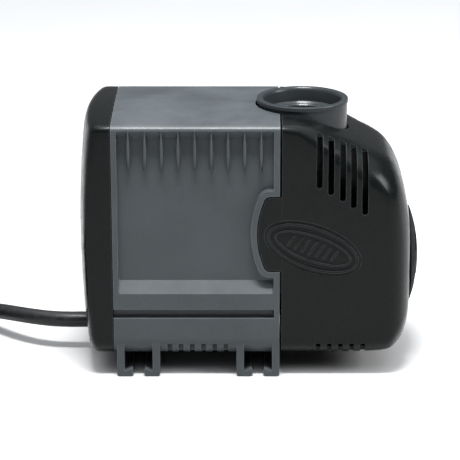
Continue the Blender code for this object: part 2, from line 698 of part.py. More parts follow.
def pump_chamber(finish):
    """The chamber round the impeller with its upright outlet, four screw lugs and an inlet at the front."""
    low, high = CHAMBER_X
    inner = CHAMBER_RADIUS - CHAMBER_WALL
    chamber = piece(rod("X", (0, ROTOR_Z), CHAMBER_RADIUS, low, high, 36), "pump_chamber", finish)
    rim = RIM_TOP - RIM_HEIGHT
    collar = (
        (ROTOR_Z + 12, 0), (ROTOR_Z + 12, COLLAR_FOOT_RADIUS), (COLLAR_TAPER_Z, COLLAR_FOOT_RADIUS),
        (COLLAR_TAPER_Z + 4, COLLAR_TOP_RADIUS - 0.2), (rim, COLLAR_TOP_RADIUS), (rim, RIM_RADIUS),
        (RIM_TOP - 0.5, RIM_RADIUS), (RIM_TOP, RIM_RADIUS - 0.5), (RIM_TOP, 0),
    )
    join(chamber, turned(collar, "Z", (OUTLET_X, 0), 36), "outlet")
    lugs = [rod("X", at, 4.4, low, low + 4.6, 16) for at in screw_places()]
    join(chamber, joined(lugs), "lugs")
    bore = (
        (ROTOR_Z + 5, 0), (ROTOR_Z + 5, OUTLET_THROAT), (THROAT_Z, OUTLET_THROAT), (THROAT_Z + 1.5, OUTLET_BORE),
        (RIM_TOP - 0.8, OUTLET_BORE), (RIM_TOP, OUTLET_BORE + 0.8), (RIM_TOP + 2, OUTLET_BORE + 0.8), (RIM_TOP + 2, 0),
    )
    cut(chamber, rod("X", (0, ROTOR_Z), inner, low - 2, high - CHAMBER_WALL, 36), "inside")
    cut(chamber, turned(bore, "Z", (OUTLET_X, 0), 36), "bore")
    cut(chamber, rod("X", (0, ROTOR_Z), INLET_RADIUS, high - CHAMBER_WALL - 3, high + 2, 24), "inlet")
    cut(chamber, joined([rod("X", at, SCREW_RADIUS + GAP, low - 1, low + 6, 12) for at in screw_places()]), "holes")
    return chamber


def inlet_bridge(finish):
    """A barred ring in the inlet whose hub holds the front bushing."""
    ring = INLET_RADIUS - GAP
    x = (CHAMBER_X[1] - 2.2, CHAMBER_X[1] + 1.0)
    bridge = round_piece("inlet_bridge", ring_profile(*x, ring - 1.8, ring), finish, 24)
    hub_rear, hub_front = SHAFT_X[1] + 2.0 - BUSH_LENGTH + 0.4, x[1] - 0.2
    hub = ((hub_rear, BUSH_RADIUS + GAP), (hub_rear, BUSH_RADIUS + 1.8), (hub_front, BUSH_RADIUS + 1.8), (hub_front, 0),
           (SHAFT_X[1] + 2.0 + GAP, 0), (SHAFT_X[1] + 2.0 + GAP, BUSH_RADIUS + GAP))
    bars = []
    for i in range(8):
        bar = box((x[0] + 0.4, x[1] - 0.4), (BUSH_RADIUS + 1.0, ring - 0.8), (-0.8, 0.8))
        turn = Matrix.Translation((0, 0, ROTOR_Z)) @ Matrix.Rotation(TURN * i / 8, 4, "X")
        bmesh.ops.transform(bar, matrix=turn, verts=bar.verts)
        bars.append(bar)
    join(bridge, turned(hub, "X", (0, ROTOR_Z), 16), "hub")
    join(bridge, joined(bars), "bars")
    return bridge


def chamber_screws(finish):
    face = CHAMBER_X[0] + 4.6 + GAP
    for number, at in enumerate(screw_places(), 1):
        profile = (
            (face + 2.2, 0), (face + 2.2, SCREW_HEAD - 0.6), (face + 1.4, SCREW_HEAD), (face, SCREW_HEAD),
            (face, SCREW_RADIUS), (WALL_FRONT[0] + 1.0, SCREW_RADIUS), (WALL_FRONT[0] + 0.2, 0.8),
            (WALL_FRONT[0] + 0.2, 0),
        )
        piece(turned(profile, "X", at, 12), f"chamber_screw_{number}", finish)


# ---------------------------------------------------------------- strainer cover and dial

# Each row: distance behind the cover's front low down and at the top edge; how far the sides, the
# underside and the top are drawn in from the housing's own outline; the radius of the top corners.
COVER_ROWS = (
    (49.6, 50.6, 0.0, 0.0, 0.2, 4.0), (40.6, 43.1, 0.0, 0.0, 2.2, 8.0), (30.0, 35.6, 0.0, 0.0, 5.8, 12.0),
    (18.5, 28.1, 0.0, 0.3, 9.8, 15.0), (10.8, 21.7, 0.0, 1.0, 13.2, 16.0), (6.9, 15.6, 1.1, 2.4, 16.2, 16.0),
    (3.8, 10.9, 3.8, 5.0, 19.0, 16.0), (1.6, 7.9, 7.6, 8.6, 22.2, 15.0), (0.5, 5.4, 10.8, 12.0, 26.2, 14.0),
    (0.0, 2.6, 13.2, 14.6, 33.6, 13.0), (0.0, 0.4, 14.8, 16.4, 44.0, 12.0),
)


def cover_solid(wall):
    """The cover's outer form, or its inside when `wall` is more than 0."""
    first = section(HALF_WIDTH - wall, UNDERSIDE + wall, SHOULDER - wall, BOTTOM_RADIUS - wall / 2, 3.0, CROWN)
    rings = [[(COVER_REAR - (6.0 if wall else 0.0), y, z) for y, z in first]]
    for low_back, high_back, side, under, over, radius in COVER_ROWS[::2] if wall else COVER_ROWS:
        high = SHOULDER - over - wall
        ring = section(HALF_WIDTH - side - wall, UNDERSIDE + under + wall, high,
                       BOTTOM_RADIUS + min(side, 2.0) - wall / 2, max(radius - wall / 2, 1.5), CROWN * 0.6)
        row = []
        for y, z in ring:
            rise = min(max((z - ROTOR_Z - 6.0) / (high - ROTOR_Z - 6.0), 0.0), 1.0)
            row.append((COVER_FRONT - low_back - (high_back - low_back) * rise ** 2 - wall, y, z))
        rings.append(row)
    return loft(rings, curved=True)


def ellipse(grow, count=28):
    a, b = OVAL_AXES[0] + grow, OVAL_AXES[1] + grow
    cos, sin = math.cos(OVAL_TILT), math.sin(OVAL_TILT)
    return [
        (OVAL_CENTRE[0] + a * math.cos(t) * cos - b * math.sin(t) * sin,
         OVAL_CENTRE[1] + a * math.cos(t) * sin + b * math.sin(t) * cos)
        for t in (TURN * i / count for i in range(count))
    ]


def cover_slot(side, x, low, depth):
    """A slot with a round foot, running up the side and over the top fillet to its depth."""
    half = SLOT_WIDTH / 2
    high = SHOULDER + 4.0
    corners = ((x - half, low, 1.2), (x + half, low, 1.2), (x + half, high, 0), (x - half, high, 0))
    return prism(rounded(corners, 3), "Y", side * (HALF_WIDTH - depth), side * (HALF_WIDTH + 3))


def window(x, radii):
    """Four arc windows round the dial's axis."""
    bodies = []
    for quarter in range(4):
        middle = TURN * (quarter + 0.5) / 4
        angles = [middle + WINDOW_ANGLE * (k / 4 - 0.5) for k in range(5)]
        outline = [(radii[1] * math.cos(t), ROTOR_Z + radii[1] * math.sin(t)) for t in angles]
        outline += [(radii[0] * math.cos(t), ROTOR_Z + radii[0] * math.sin(t)) for t in reversed(angles)]
        bodies.append(prism(outline, "X", *x))
    return joined(bodies)


def strainer_cover(finish):
    cover = piece(cover_solid(0.0), "strainer_cover", finish)
    cut(cover, cover_solid(COVER_WALL), "inside")
    radius = RIM_RADIUS + COLLAR_GAP
    arc = [(OUTLET_X + radius * math.sin(math.pi * k / 20), -radius * math.cos(math.pi * k / 20)) for k in range(21)]
    notch = [(COVER_REAR - 8, -radius)] + arc + [(COVER_REAR - 8, radius)]
    openings = [cover_slot(s, *slot) for s in (-1, 1) for slot in SLOTS]
    openings += [prism(notch, "Z", 98.0, RIM_TOP + 6), vents(*COVER_VENTS, 9.0)]
    openings += [rod("X", (0, ROTOR_Z), HUB_RADIUS + GAP, COVER_FRONT - 8, COVER_FRONT + 4, 28)]
    openings += [window((COVER_FRONT - 8, COVER_FRONT + 4), WINDOW_RADII)]
    cut(cover, joined(openings), "openings")
    outer, inner = HALF_WIDTH - 0.1, HALF_WIDTH - TAB_THICK
    join(cover, both_sides(lambda s: prism(tab_outline(0.0, 18.0), "Y", s * inner, s * outer)), "tabs")
    join(cover, both_sides(lambda s: prism(ellipse(0.0), "Y", s * (HALF_WIDTH - 1), s * (HALF_WIDTH + OVAL_RAISE))),
         "ovals")
    cut(cover, both_sides(lambda s: prism(ellipse(-OVAL_RIM), "Y", s * (HALF_WIDTH + 0.05), s * (HALF_WIDTH + 3))),
        "oval_floors")
    return cover


def flow_dial(finish, steel):
    """The dial outside the cover, the shutter inside it and the screw that holds the two together."""
    axis = (COVER_FRONT, 0, ROTOR_Z)
    face = COVER_FRONT + GAP
    hub_end = COVER_FRONT - COVER_WALL - 2.6
    profile = [(hub_end, 0), (hub_end, HUB_RADIUS), (face, HUB_RADIUS), (face, DIAL_RADIUS),
               (face + DIAL_EDGE * 0.6, DIAL_RADIUS)]
    base = face + DIAL_EDGE * 0.6
    for share in (0.92, 0.8, 0.62, 0.42, 0.2):
        profile.append((base + (DIAL_FRONT - base) * (1 - share ** 2), DIAL_RADIUS * share))
    profile.append((DIAL_FRONT, 0))
    dial = round_piece("flow_dial", profile, finish, 32, axis)
    screw_hole = rod("X", (0, ROTOR_Z), SCREW_RADIUS + GAP, hub_end - 1, COVER_FRONT + 0.6, 12)
    cut(dial, joined([window((face - 1, DIAL_FRONT + 2), WINDOW_RADII), screw_hole]), "holes")
    disc = (hub_end - GAP - SHUTTER_THICK, hub_end - GAP)
    shutter = round_piece("dial_shutter", ring_profile(*disc, SCREW_RADIUS + GAP, SHUTTER_RADIUS), finish, 24, axis)
    cut(shutter, window((disc[0] - 1, disc[1] + 1), WINDOW_RADII), "windows")
    head = disc[0] - GAP
    screw = ((head - 2.0, 0), (head - 2.0, SCREW_HEAD - 0.6), (head - 1.3, SCREW_HEAD), (head, SCREW_HEAD),
             (head, SCREW_RADIUS), (COVER_FRONT, SCREW_RADIUS), (COVER_FRONT, 0))
    fastener = round_piece("dial_screw", screw, steel, 12, axis)
    return [dial, shutter, fastener]


# ---------------------------------------------------------------- cord, coil, tie and plug

def cord_coil(finish):
    """The outer form of the coiled length: turns side by side and in layers."""
    half = COIL_TURNS_WIDE * CORD_RADIUS
    height = COIL_TURNS_HIGH * 2 * CORD_RADIUS
    bevel = 2.0
    profile = (
        (0.0, COIL_MID - half + bevel), (0.0, COIL_MID + half - bevel), (bevel, COIL_MID + half),
        (height - bevel, COIL_MID + half), (height, COIL_MID + half - bevel), (height, COIL_MID - half + bevel),
        (height - bevel, COIL_MID - half), (bevel, COIL_MID - half),
    )
    return piece(turned(profile, "Z", COIL_CENTRE, 36), "cord_coil", finish)


def cord_tie(finish):
    """A strap round the bundle, square to its turns, at the side away from the pump."""
    half, height = COIL_TURNS_WIDE * CORD_RADIUS + GAP, COIL_TURNS_HIGH * 2 * CORD_RADIUS
    thick = 0.9
    middle = COIL_CENTRE[1] - COIL_MID
    outer = ((middle - half - thick, 0.0, 0), (middle + half + thick, 0.0, 0),
             (middle + half + thick, height + GAP + thick, 1.5), (middle - half - thick, height + GAP + thick, 1.5))
    inner = ((middle - half, -1.0, 0), (middle + half, -1.0, 0), (middle + half, height + GAP, 0.6),
             (middle - half, height + GAP, 0.6))
    width = (COIL_CENTRE[0] - 2.4, COIL_CENTRE[0] + 2.4)
    strap = piece(prism(rounded(outer, 2), "X", *width), "cord_tie", finish)
    cut(strap, prism(rounded(inner, 2), "X", width[0] - 1, width[1] + 1), "middle")
    return strap


def plug(rubber, brass):
    """A moulded plug with a tapered strain relief, lying on the coil."""
    x, z = PLUG_AXIS

    def ring(y, half_x, half_z, corner):
        corners = ((x - half_x, z - half_z, corner), (x + half_x, z - half_z, corner),
                   (x + half_x, z + half_z, corner), (x - half_x, z + half_z, corner))
        return [(a, y, b) for a, b in rounded(corners, 3)]

    start = PLUG_Y
    neck = start - RELIEF_LENGTH
    front = neck - PLUG_LENGTH
    thin, wide, tall = CORD_RADIUS + 0.9, PLUG_WIDTH / 2, PLUG_HEIGHT / 2
    rings = [
        ring(start, thin, thin, thin * 0.9), ring(neck + 2, thin + 1.4, thin + 1.4, thin),
        ring(neck - 1, wide * 0.55, tall * 0.75, 5.0), ring(neck - 5, wide * 0.8, tall * 0.9, 6.0),
        ring(neck - 12, wide * 0.94, tall, 6.0), ring(front + 3, wide, tall, 6.0), ring(front, wide - 0.8, tall - 0.8, 5.4),
    ]
    body = piece(loft(rings), "plug_body", rubber)
    seat = front + 8.0
    holes = []
    for number, dx in enumerate((-BLADE_SPACING / 2, BLADE_SPACING / 2), 1):
        xs = (x + dx - BLADE_SIZE[0] / 2, x + dx + BLADE_SIZE[0] / 2)
        zs = (z + 2.0 - BLADE_SIZE[1] / 2, z + 2.0 + BLADE_SIZE[1] / 2)
        holes.append(box((xs[0] - GAP, xs[1] + GAP), (front - 2, seat), (zs[0] - GAP, zs[1] + GAP)))
        piece(box(xs, (front - BLADE_LENGTH, seat - GAP), zs), f"plug_blade_{number}", brass)
    ground = bmesh.new()
    bmesh.ops.create_cone(ground, cap_ends=True, segments=16, radius1=2.3, radius2=2.3, depth=BLADE_LENGTH + 10)
    hole = bmesh.new()
    bmesh.ops.create_cone(hole, cap_ends=True, segments=16, radius1=2.6, radius2=2.6, depth=12)
    lie = Matrix.Rotation(math.pi / 2, 4, "X")
    middle = (front - BLADE_LENGTH - 2.0 + seat - GAP) / 2
    length = (seat - GAP) - (front - BLADE_LENGTH - 2.0)
    bmesh.ops.scale(ground, vec=(1, 1, length / (BLADE_LENGTH + 10)), verts=ground.verts)
    bmesh.ops.transform(ground, matrix=Matrix.Translation((x, middle, z - 4.4)) @ lie, verts=ground.verts)
    bmesh.ops.transform(hole, matrix=Matrix.Translation((x, seat - 6.0, z - 4.4)) @ lie, verts=hole.verts)
    holes.append(hole)
    piece(ground, "plug_ground_pin", brass)
    cut(body, joined(holes), "contact_holes")
    return body


def leads(finishes):
    """The three cores of the cord, rising inside the cap to the potted motor."""
    for number, (dy, finish) in enumerate(zip((-2.0, 0.0, 2.0), finishes), 1):
        points = ((CORD_START + 2 * GAP, dy, CORD_Z), (-63.8, dy * 1.5, CORD_Z + 2.0), (-62.6, dy * 2.4, CORD_Z + 8.0),
                  (-61.2, dy * 3.0, CORD_Z + 14.0), (RESIN_X[0] - 3 * GAP, dy * 3.0, CORD_Z + 18.0))
        tube(f"inner_lead_{number}", points, 0.8, finish, 1)


def axis_empty(name, place_at, pieces):
    """An empty on a joint's axis; its pieces are parented to it where they stand."""
    empty = bpy.data.objects.new(name, None)
    empty.location = Vector(place_at) * MM
    bpy.context.scene.collection.objects.link(empty)
    for obj in pieces:
        obj.parent = empty
        obj.location = obj.location - empty.location
    return empty


def main():
    clear_scene()
    grey = material("housing_grey", (0.075, 0.085, 0.092), 0.5)
    black = material("cover_black", (0.018, 0.02, 0.021), 0.34)
    collar = material("chamber_grey", (0.055, 0.06, 0.065), 0.42)
    dark = material("dial_black", (0.02, 0.022, 0.024), 0.4)
    rubber = material("seal_rubber", (0.02, 0.02, 0.02), 0.8)
    steel = material("screw_steel", (0.55, 0.55, 0.56), 0.3, 1.0)
    iron = material("core_iron", (0.22, 0.22, 0.23), 0.5, 0.9)
    copper = material("winding_copper", (0.6, 0.26, 0.1), 0.35, 0.9)
    nylon = material("bobbin_nylon", (0.75, 0.74, 0.68), 0.5)
    ceramic = material("bearing_ceramic", (0.85, 0.84, 0.8), 0.25)
    ferrite = material("magnet_ferrite", (0.05, 0.05, 0.055), 0.6)
    impeller_white = material("impeller_plastic", (0.62, 0.63, 0.62), 0.45)
    resin = material("potting_resin", (0.03, 0.03, 0.032), 0.3)
    jacket = material("cord_rubber", (0.012, 0.012, 0.013), 0.55)
    brass = material("plug_brass", (0.7, 0.55, 0.28), 0.3, 1.0)
    brown = material("lead_brown", (0.2, 0.09, 0.04), 0.5)
    blue = material("lead_blue", (0.04, 0.12, 0.4), 0.5)
    green = material("lead_green", (0.1, 0.32, 0.08), 0.5)

    motor_housing(grey)
    rear_cap(black)
    rear_gasket(rubber)
    cord_clamp(nylon, steel)
    stator_core(iron)
    coil_on_leg(-1, 1, nylon, copper)
    coil_on_leg(1, 2, nylon, copper)
    potting_resin(resin)
    rotor_well(dark)
    chamber_o_ring(rubber)
    bore = bearings(ceramic, rubber)
    spinning = rotor(bore, ferrite, impeller_white)
    pump_chamber(collar)
    inlet_bridge(collar)
    chamber_screws(steel)
    cover = strainer_cover(black)
    turning = flow_dial(dark, steel)
    leads((brown, blue, green))
    tube("power_cord", ROUTE, CORD_RADIUS, jacket, 3)
    tube("cord_tail", TAIL, CORD_RADIUS, jacket, 3)
    cord_coil(jacket)
    cord_tie(nylon)
    plug(jacket, brass)

    axis_empty("rotor_axis", (MAGNET_X[0], 0, ROTOR_Z), spinning)
    slide = axis_empty("cover_slide_axis", (COVER_FRONT, 0, ROTOR_Z), [cover])
    dial_axis = axis_empty("dial_axis", (COVER_FRONT, 0, ROTOR_Z), turning)
    dial_axis.parent = slide
    dial_axis.location = (0, 0, 0)


main()
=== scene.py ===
import math

import bmesh
import bpy
from mathutils import Matrix, Vector


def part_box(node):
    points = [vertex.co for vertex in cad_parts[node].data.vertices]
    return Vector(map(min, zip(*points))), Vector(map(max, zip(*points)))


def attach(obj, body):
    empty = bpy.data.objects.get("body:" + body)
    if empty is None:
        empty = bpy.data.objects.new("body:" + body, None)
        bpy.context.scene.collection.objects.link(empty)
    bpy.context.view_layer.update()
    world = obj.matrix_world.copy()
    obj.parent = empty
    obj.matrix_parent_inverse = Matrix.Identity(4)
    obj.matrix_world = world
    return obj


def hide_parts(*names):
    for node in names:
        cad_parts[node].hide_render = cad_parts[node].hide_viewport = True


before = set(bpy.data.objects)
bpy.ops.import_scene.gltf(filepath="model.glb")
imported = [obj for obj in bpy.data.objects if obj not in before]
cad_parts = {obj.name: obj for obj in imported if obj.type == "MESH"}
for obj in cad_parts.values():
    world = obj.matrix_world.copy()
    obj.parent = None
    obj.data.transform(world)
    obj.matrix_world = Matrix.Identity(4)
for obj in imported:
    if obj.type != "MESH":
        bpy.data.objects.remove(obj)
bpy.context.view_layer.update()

MM = 0.001
TURN = 2 * math.pi


def node_box(name):
    """A node's lowest and highest corners in millimetres."""
    low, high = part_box(name)
    return Vector(low) / MM, Vector(high) / MM


# ---------------------------------------------------------------- sizes, in millimetres

housing_low, housing_high = node_box("motor_housing")
cap_low = node_box("rear_cap")[0]
cover_high = node_box("strainer_cover")[1]
dial_low, dial_high = node_box("flow_dial")

HALF = housing_high.y
REAR = housing_low.x
FRONT = housing_high.x - 0.1
UNDERSIDE = cap_low.z
CROWN = 1.3
SHOULDER = housing_high.z - CROWN
BOTTOM_RADIUS = 9.0
TOP_RADIUS = 2.6
CAVITY_HALF = HALF - 5.6
CAVITY_FLOOR = UNDERSIDE + 4.4
CAVITY_TOP = SHOULDER - 4.8
ROTOR_Z = (dial_low.z + dial_high.z) / 2
COVER_REAR = FRONT + 0.9
COVER_FRONT = cover_high.x
COVER_WALL = 1.7
OUTLET_X = 23.65
RIM_TOP = node_box("pump_chamber")[1].z
RIM_RADIUS = 20.5

TAB_X = 7.6
TAB_Z = (50.0, 83.7)
TAB_BULGE = 3.9
LEDGE = (39.3, 44.6)
PANEL_X = (-58.0, 10.7)
PANEL_TOP = (109.4, 114.0)
PANEL_DEPTH = 3.8
GROOVE = (27.8, 32.0)
GROOVE_DEPTH = 3.0
FOOT_X = (-49.6, 3.8)
RECESS_RIM = 3.1
FIN_FIRST = -52.9
FIN_PITCH = 7.25
FIN_Z = (94.7, 114.6)
FIN_COUNT = 9
VENT_HALF = 1.1
VENT_PITCH = 5.0
VENT_DEPTH = 9.0
VENT_TOP = 15.7

CAP_REAR = -76.45
CAP_WALL = 2.4
SLOT_HALF = 1.3
COLLAR_GAP = 0.6
CHAMBER_X = (4.9, 43.0)
CHAMBER_RADIUS = 28.0
CHAMBER_BORE = 25.6
OUTLET_BORE = 17.2
OUTLET_THROAT = 14.5
COLLAR_RADIUS = 20.1
COLLAR_FOOT = 18.9
INLET_RADIUS = 15.0
SCREW_OFFSET = 22.0
SCREW_HOLE = 1.8
DIAL_RADIUS = 21.7
HUB_RADIUS = 7.0
COMB_TEETH = 48

CORD_RADIUS = 3.6
CORD_ROUTE = (
    (-65.5, 0.0, 14.0), (-70.0, 0.0, 14.0), (-76.0, 0.0, 14.0), (-84.0, 0.0, 14.0), (-92.0, 1.4, 13.9),
    (-100.0, 5.1, 13.5), (-108.0, 11.0, 12.6), (-115.0, 17.6, 11.3), (-121.5, 24.8, 9.4), (-127.5, 32.0, 7.2),
    (-133.0, 38.6, 5.2), (-137.2, 43.3, 4.1), (-141.3, 47.3, 3.75),
)
CORD_TAIL = (
    (-176.0, 46.0, 18.4), (-186.3, 44.2, 18.4), (-193.2, 40.6, 18.8), (-199.0, 35.3, 19.6),
    (-203.2, 28.7, 20.8), (-205.5, 21.2, 22.3), (-206.0, 16.0, 23.3), (-206.0, 12.0, 23.9),
)
COIL_CENTRE = (-181.0, 10.0)
TURN_RADII = (46.8, 39.6, 32.4)


# ---------------------------------------------------------------- camera, floor and light

def add_camera():
    data = bpy.data.cameras.new("view")
    data.sensor_width = 36.0
    data.lens = 176.8
    data.shift_x = -0.037
    data.clip_start = 0.05
    data.clip_end = 20.0
    camera = bpy.data.objects.new("view", data)
    camera.location = (-0.0011, -0.9807, 0.3721)
    camera.rotation_euler = (math.radians(90 - 17.8), 0, 0)
    bpy.context.scene.collection.objects.link(camera)
    bpy.context.scene.camera = camera


def softbox(name, place, aim, size, power):
    """A rectangular studio light at `place`, facing `aim`."""
    data = bpy.data.lights.new(name, "AREA")
    data.shape = "RECTANGLE"
    data.size, data.size_y = size
    data.energy = power
    lamp = bpy.data.objects.new(name, data)
    lamp.location = place
    lamp.rotation_euler = (Vector(aim) - Vector(place)).to_track_quat("-Z", "Y").to_euler()
    bpy.context.scene.collection.objects.link(lamp)


add_camera()


# ---------------------------------------------------------------- shader writing

class Value:
    """A shader socket; arithmetic on it adds Math nodes to its tree."""

    def __init__(self, tree, socket):
        self.tree = tree
        self.socket = socket

    def math(self, operation, left, right=None):
        node = self.tree.nodes.new("ShaderNodeMath")
        node.operation = operation
        for socket, value in zip(node.inputs, (left, right)):
            if isinstance(value, Value):
                self.tree.links.new(value.socket, socket)
            elif value is not None:
                socket.default_value = value
        return Value(self.tree, node.outputs[0])

    def __add__(self, other):
        return self.math("ADD", self, other)

    def __sub__(self, other):
        return self.math("SUBTRACT", self, other)

    def __mul__(self, other):
        return self.math("MULTIPLY", self, other)

    def __rsub__(self, other):
        return self.math("SUBTRACT", other, self)

    def least(self, other):
        return self.math("MINIMUM", self, other)

    def most(self, other):
        return self.math("MAXIMUM", self, other)

    __radd__ = __add__
    __rmul__ = __mul__


class Shading:
    """A node tree with one shader node, and a short way to add nodes to it."""

    def __init__(self, tree, shader):
        self.tree = tree
        self.shader = tree.nodes[shader]

    def node(self, kind, settings=(), inputs=(), output=0):
        node = self.tree.nodes.new("ShaderNode" + kind)
        for key, value in dict(settings).items():
            setattr(node, key, value)
        for key, value in dict(inputs).items():
            if isinstance(value, Value):
                self.tree.links.new(value.socket, node.inputs[key])
            else:
                node.inputs[key].default_value = value
        return Value(self.tree, node.outputs[output])

    def feed(self, socket, value):
        self.tree.links.new(value.socket, self.shader.inputs[socket])

    def place(self):
        return self.node("TexCoord", output="Object")

    def noise(self, where, scale, detail=3.0, roughness=0.55):
        return self.node("TexNoise", inputs={"Vector": where, "Scale": scale, "Detail": detail,
                                             "Roughness": roughness})

    def range(self, value, low, high, to_low=0.0, to_high=1.0):
        return self.node("MapRange", {"interpolation_type": "SMOOTHSTEP"},
                         {"Value": value, "From Min": low, "From Max": high,
                          "To Min": to_low, "To Max": to_high})

    def blend(self, factor, first, second):
        return self.node("Mix", {"data_type": "RGBA"}, {0: factor, 6: first, 7: second}, output=2)

    def bump(self, height, strength, distance):
        return self.node("Bump", inputs={"Height": height, "Strength": strength, "Distance": distance})


class Finish(Shading):
    """A material whose Principled shader starts from the constants given."""

    def __init__(self, name, **constants):
        self.material = bpy.data.materials.new(name)
        self.material.use_nodes = True
        super().__init__(self.material.node_tree, "Principled BSDF")
        for socket, value in constants.items():
            self.shader.inputs[socket.replace("_", " ")].default_value = value

    def edges(self, radius):
        """About 1 on a convex or hollow edge and 0 on open faces."""
        soft = self.node("Bevel", {"samples": 6}, {"Radius": radius})
        true = self.node("NewGeometry", output="Normal")
        facing = self.node("VectorMath", {"operation": "DOT_PRODUCT"}, {0: soft, 1: true}, output="Value")
        return self.range(facing, 0.995, 0.80)


def rgb(red, green, blue):
    return (red, green, blue, 1.0)


def add_studio():
    """A white tent, brightest overhead, with three softboxes above and to the right of the pump."""
    world = bpy.data.worlds.new("studio")
    world.use_nodes = True
    bpy.context.scene.world = world
    bpy.context.scene.view_settings.view_transform = "Standard"
    tent = Shading(world.node_tree, "Background")
    way = tent.node("TexCoord", output="Generated")
    right = tent.node("SeparateXYZ", inputs={"Vector": way}, output="X")
    back = tent.node("SeparateXYZ", inputs={"Vector": way}, output="Y")
    up = tent.node("SeparateXYZ", inputs={"Vector": way}, output="Z")
    overhead = tent.range(up, 0.5, 0.92) * 2.8
    behind = tent.range(back, -0.1, 0.6) * (1 - tent.range(right, 0.1, 0.8) * 0.6) * 0.16
    left = tent.range(right, -0.35, -0.95) * 0.36
    light = overhead + behind + left + 0.03
    tent.feed("Color", tent.blend(light.least(8.0) * 0.125, rgb(0.0, 0.0, 0.0), rgb(0.97, 1.0, 1.04)))
    tent.shader.inputs["Strength"].default_value = 8.0
    softbox("right_light", (0.85, -0.34, 0.5), (0.0, -0.03, 0.06), (0.24, 0.4), 4.6)
    softbox("top_light", (-0.02, -0.26, 0.95), (0.0, 0.0, 0.08), (0.3, 0.11), 18.0)
    softbox("corner_light", (0.74, -0.12, 0.46), (0.05, -0.03, 0.08), (0.26, 0.26), 2.4)


add_studio()


def moulded_plastic(name, colour, wear_and_edge_highlight, roughness, grain=0.03, dust_and_top_lightening=0.0, shine=0.3, scuffing=0.08):
    """Injection moulded plastic: spark-eroded grain, flow clouds, faint scuffs, and paler edges that are
    partly rubbed wear and partly a painted highlight along every edge.
    """
    finish = Finish(name, Roughness=roughness, Specular_IOR_Level=shine)
    where = finish.place()
    clouds = finish.noise(where, 34.0, 4.0)
    grit = finish.noise(where, 3200.0, 2.0, 0.6)
    patches = finish.noise(where, 210.0, 3.0)
    scuff_place = finish.node("Mapping", inputs={"Vector": where, "Rotation": (0.4, 0.25, 0.6),
                                                 "Scale": (60.0, 900.0, 900.0)})
    scuffs = finish.range(finish.noise(scuff_place, 1.0, 3.0, 0.7), 0.66, 0.78)
    # edge masks every edge. Blending it toward the paler colour paints a highlight along the edges, which
    # also stands for some rubbed wear.
    edge = finish.edges(0.0006) * finish.range(patches, 0.2, 0.6, 0.35, 1.0)
    dark = tuple(0.86 * c for c in colour[:3]) + (1.0,)
    base = finish.blend(finish.range(clouds, 0.3, 0.7), dark, colour)
    base = finish.blend(finish.range(grit, 0.35, 0.75) * min(0.1, 3 * grain), base, wear_and_edge_highlight)
    base = finish.blend((edge * 0.45 + scuffs * scuffing).least(1.0), base, wear_and_edge_highlight)
    # A pale film in cloudy patches on upward faces: partly dust, and partly painted light that makes the tops
    # lighter.
    if dust_and_top_lightening:
        facing = finish.node("NewGeometry", output="Normal")
        up = finish.node("SeparateXYZ", inputs={"Vector": facing}, output="Z")
        film = finish.range(up, 0.2, 1.0) * finish.range(clouds, 0.25, 0.7) * dust_and_top_lightening
        base = finish.blend(film, base, rgb(0.42, 0.44, 0.46))
    finish.feed("Base Color", base)
    rough = finish.range(patches, 0.25, 0.75, roughness - 0.05, roughness + 0.06)
    finish.feed("Roughness", (rough + scuffs * 0.06 - edge * 0.05).least(1.0).most(0.05))
    relief = grit * 0.7 + patches * 0.3
    finish.feed("Normal", finish.bump(relief, grain * 6, 0.00008))
    return finish.material


def rubber(name, colour, roughness):
    """Soft rubber: matt, faintly mottled, with a bloom on its rubbed edges."""
    finish = Finish(name, Roughness=roughness, Specular_IOR_Level=0.25)
    where = finish.place()
    mottle = finish.noise(where, 420.0, 4.0)
    fine = finish.noise(where, 4200.0, 2.0)
    bloom = finish.edges(0.0006) * finish.range(mottle, 0.35, 0.65)
    pale = tuple(min(1.0, 2.6 * c + 0.02) for c in colour[:3]) + (1.0,)
    base = finish.blend((finish.range(mottle, 0.4, 0.75) * 0.25 + bloom * 0.4).least(1.0), colour, pale)
    finish.feed("Base Color", base)
    finish.feed("Roughness", finish.range(mottle, 0.3, 0.7, roughness - 0.07, roughness + 0.07))
    finish.feed("Normal", finish.bump(fine * 0.5 + mottle * 0.5, 0.3, 0.00008))
    return finish.material


def drawn_metal(name, colour, roughness, dull, stretch=(1.0, 1.0, 14.0)):
    """Plated or drawn metal: fine lines along one way, dull spots and bright edges."""
    finish = Finish(name, Metallic=1.0, Roughness=roughness)
    where = finish.place()
    lined = finish.node("Mapping", inputs={"Vector": where, "Scale": stretch})
    lines = finish.noise(lined, 700.0, 4.0, 0.65)
    spots = finish.noise(where, 300.0, 4.0)
    bright = finish.edges(0.0004)
    base = finish.blend(finish.range(spots, 0.5, 0.72) * 0.6, colour, dull)
    base = finish.blend(bright * 0.4, base, rgb(0.92, 0.92, 0.92))
    finish.feed("Base Color", base)
    finish.feed("Roughness", finish.range(lines, 0.3, 0.7, roughness - 0.06, roughness + 0.1)
                + finish.range(spots, 0.5, 0.72) * 0.18)
    finish.feed("Normal", finish.bump(lines, 0.2, 0.00005))
    return finish.material


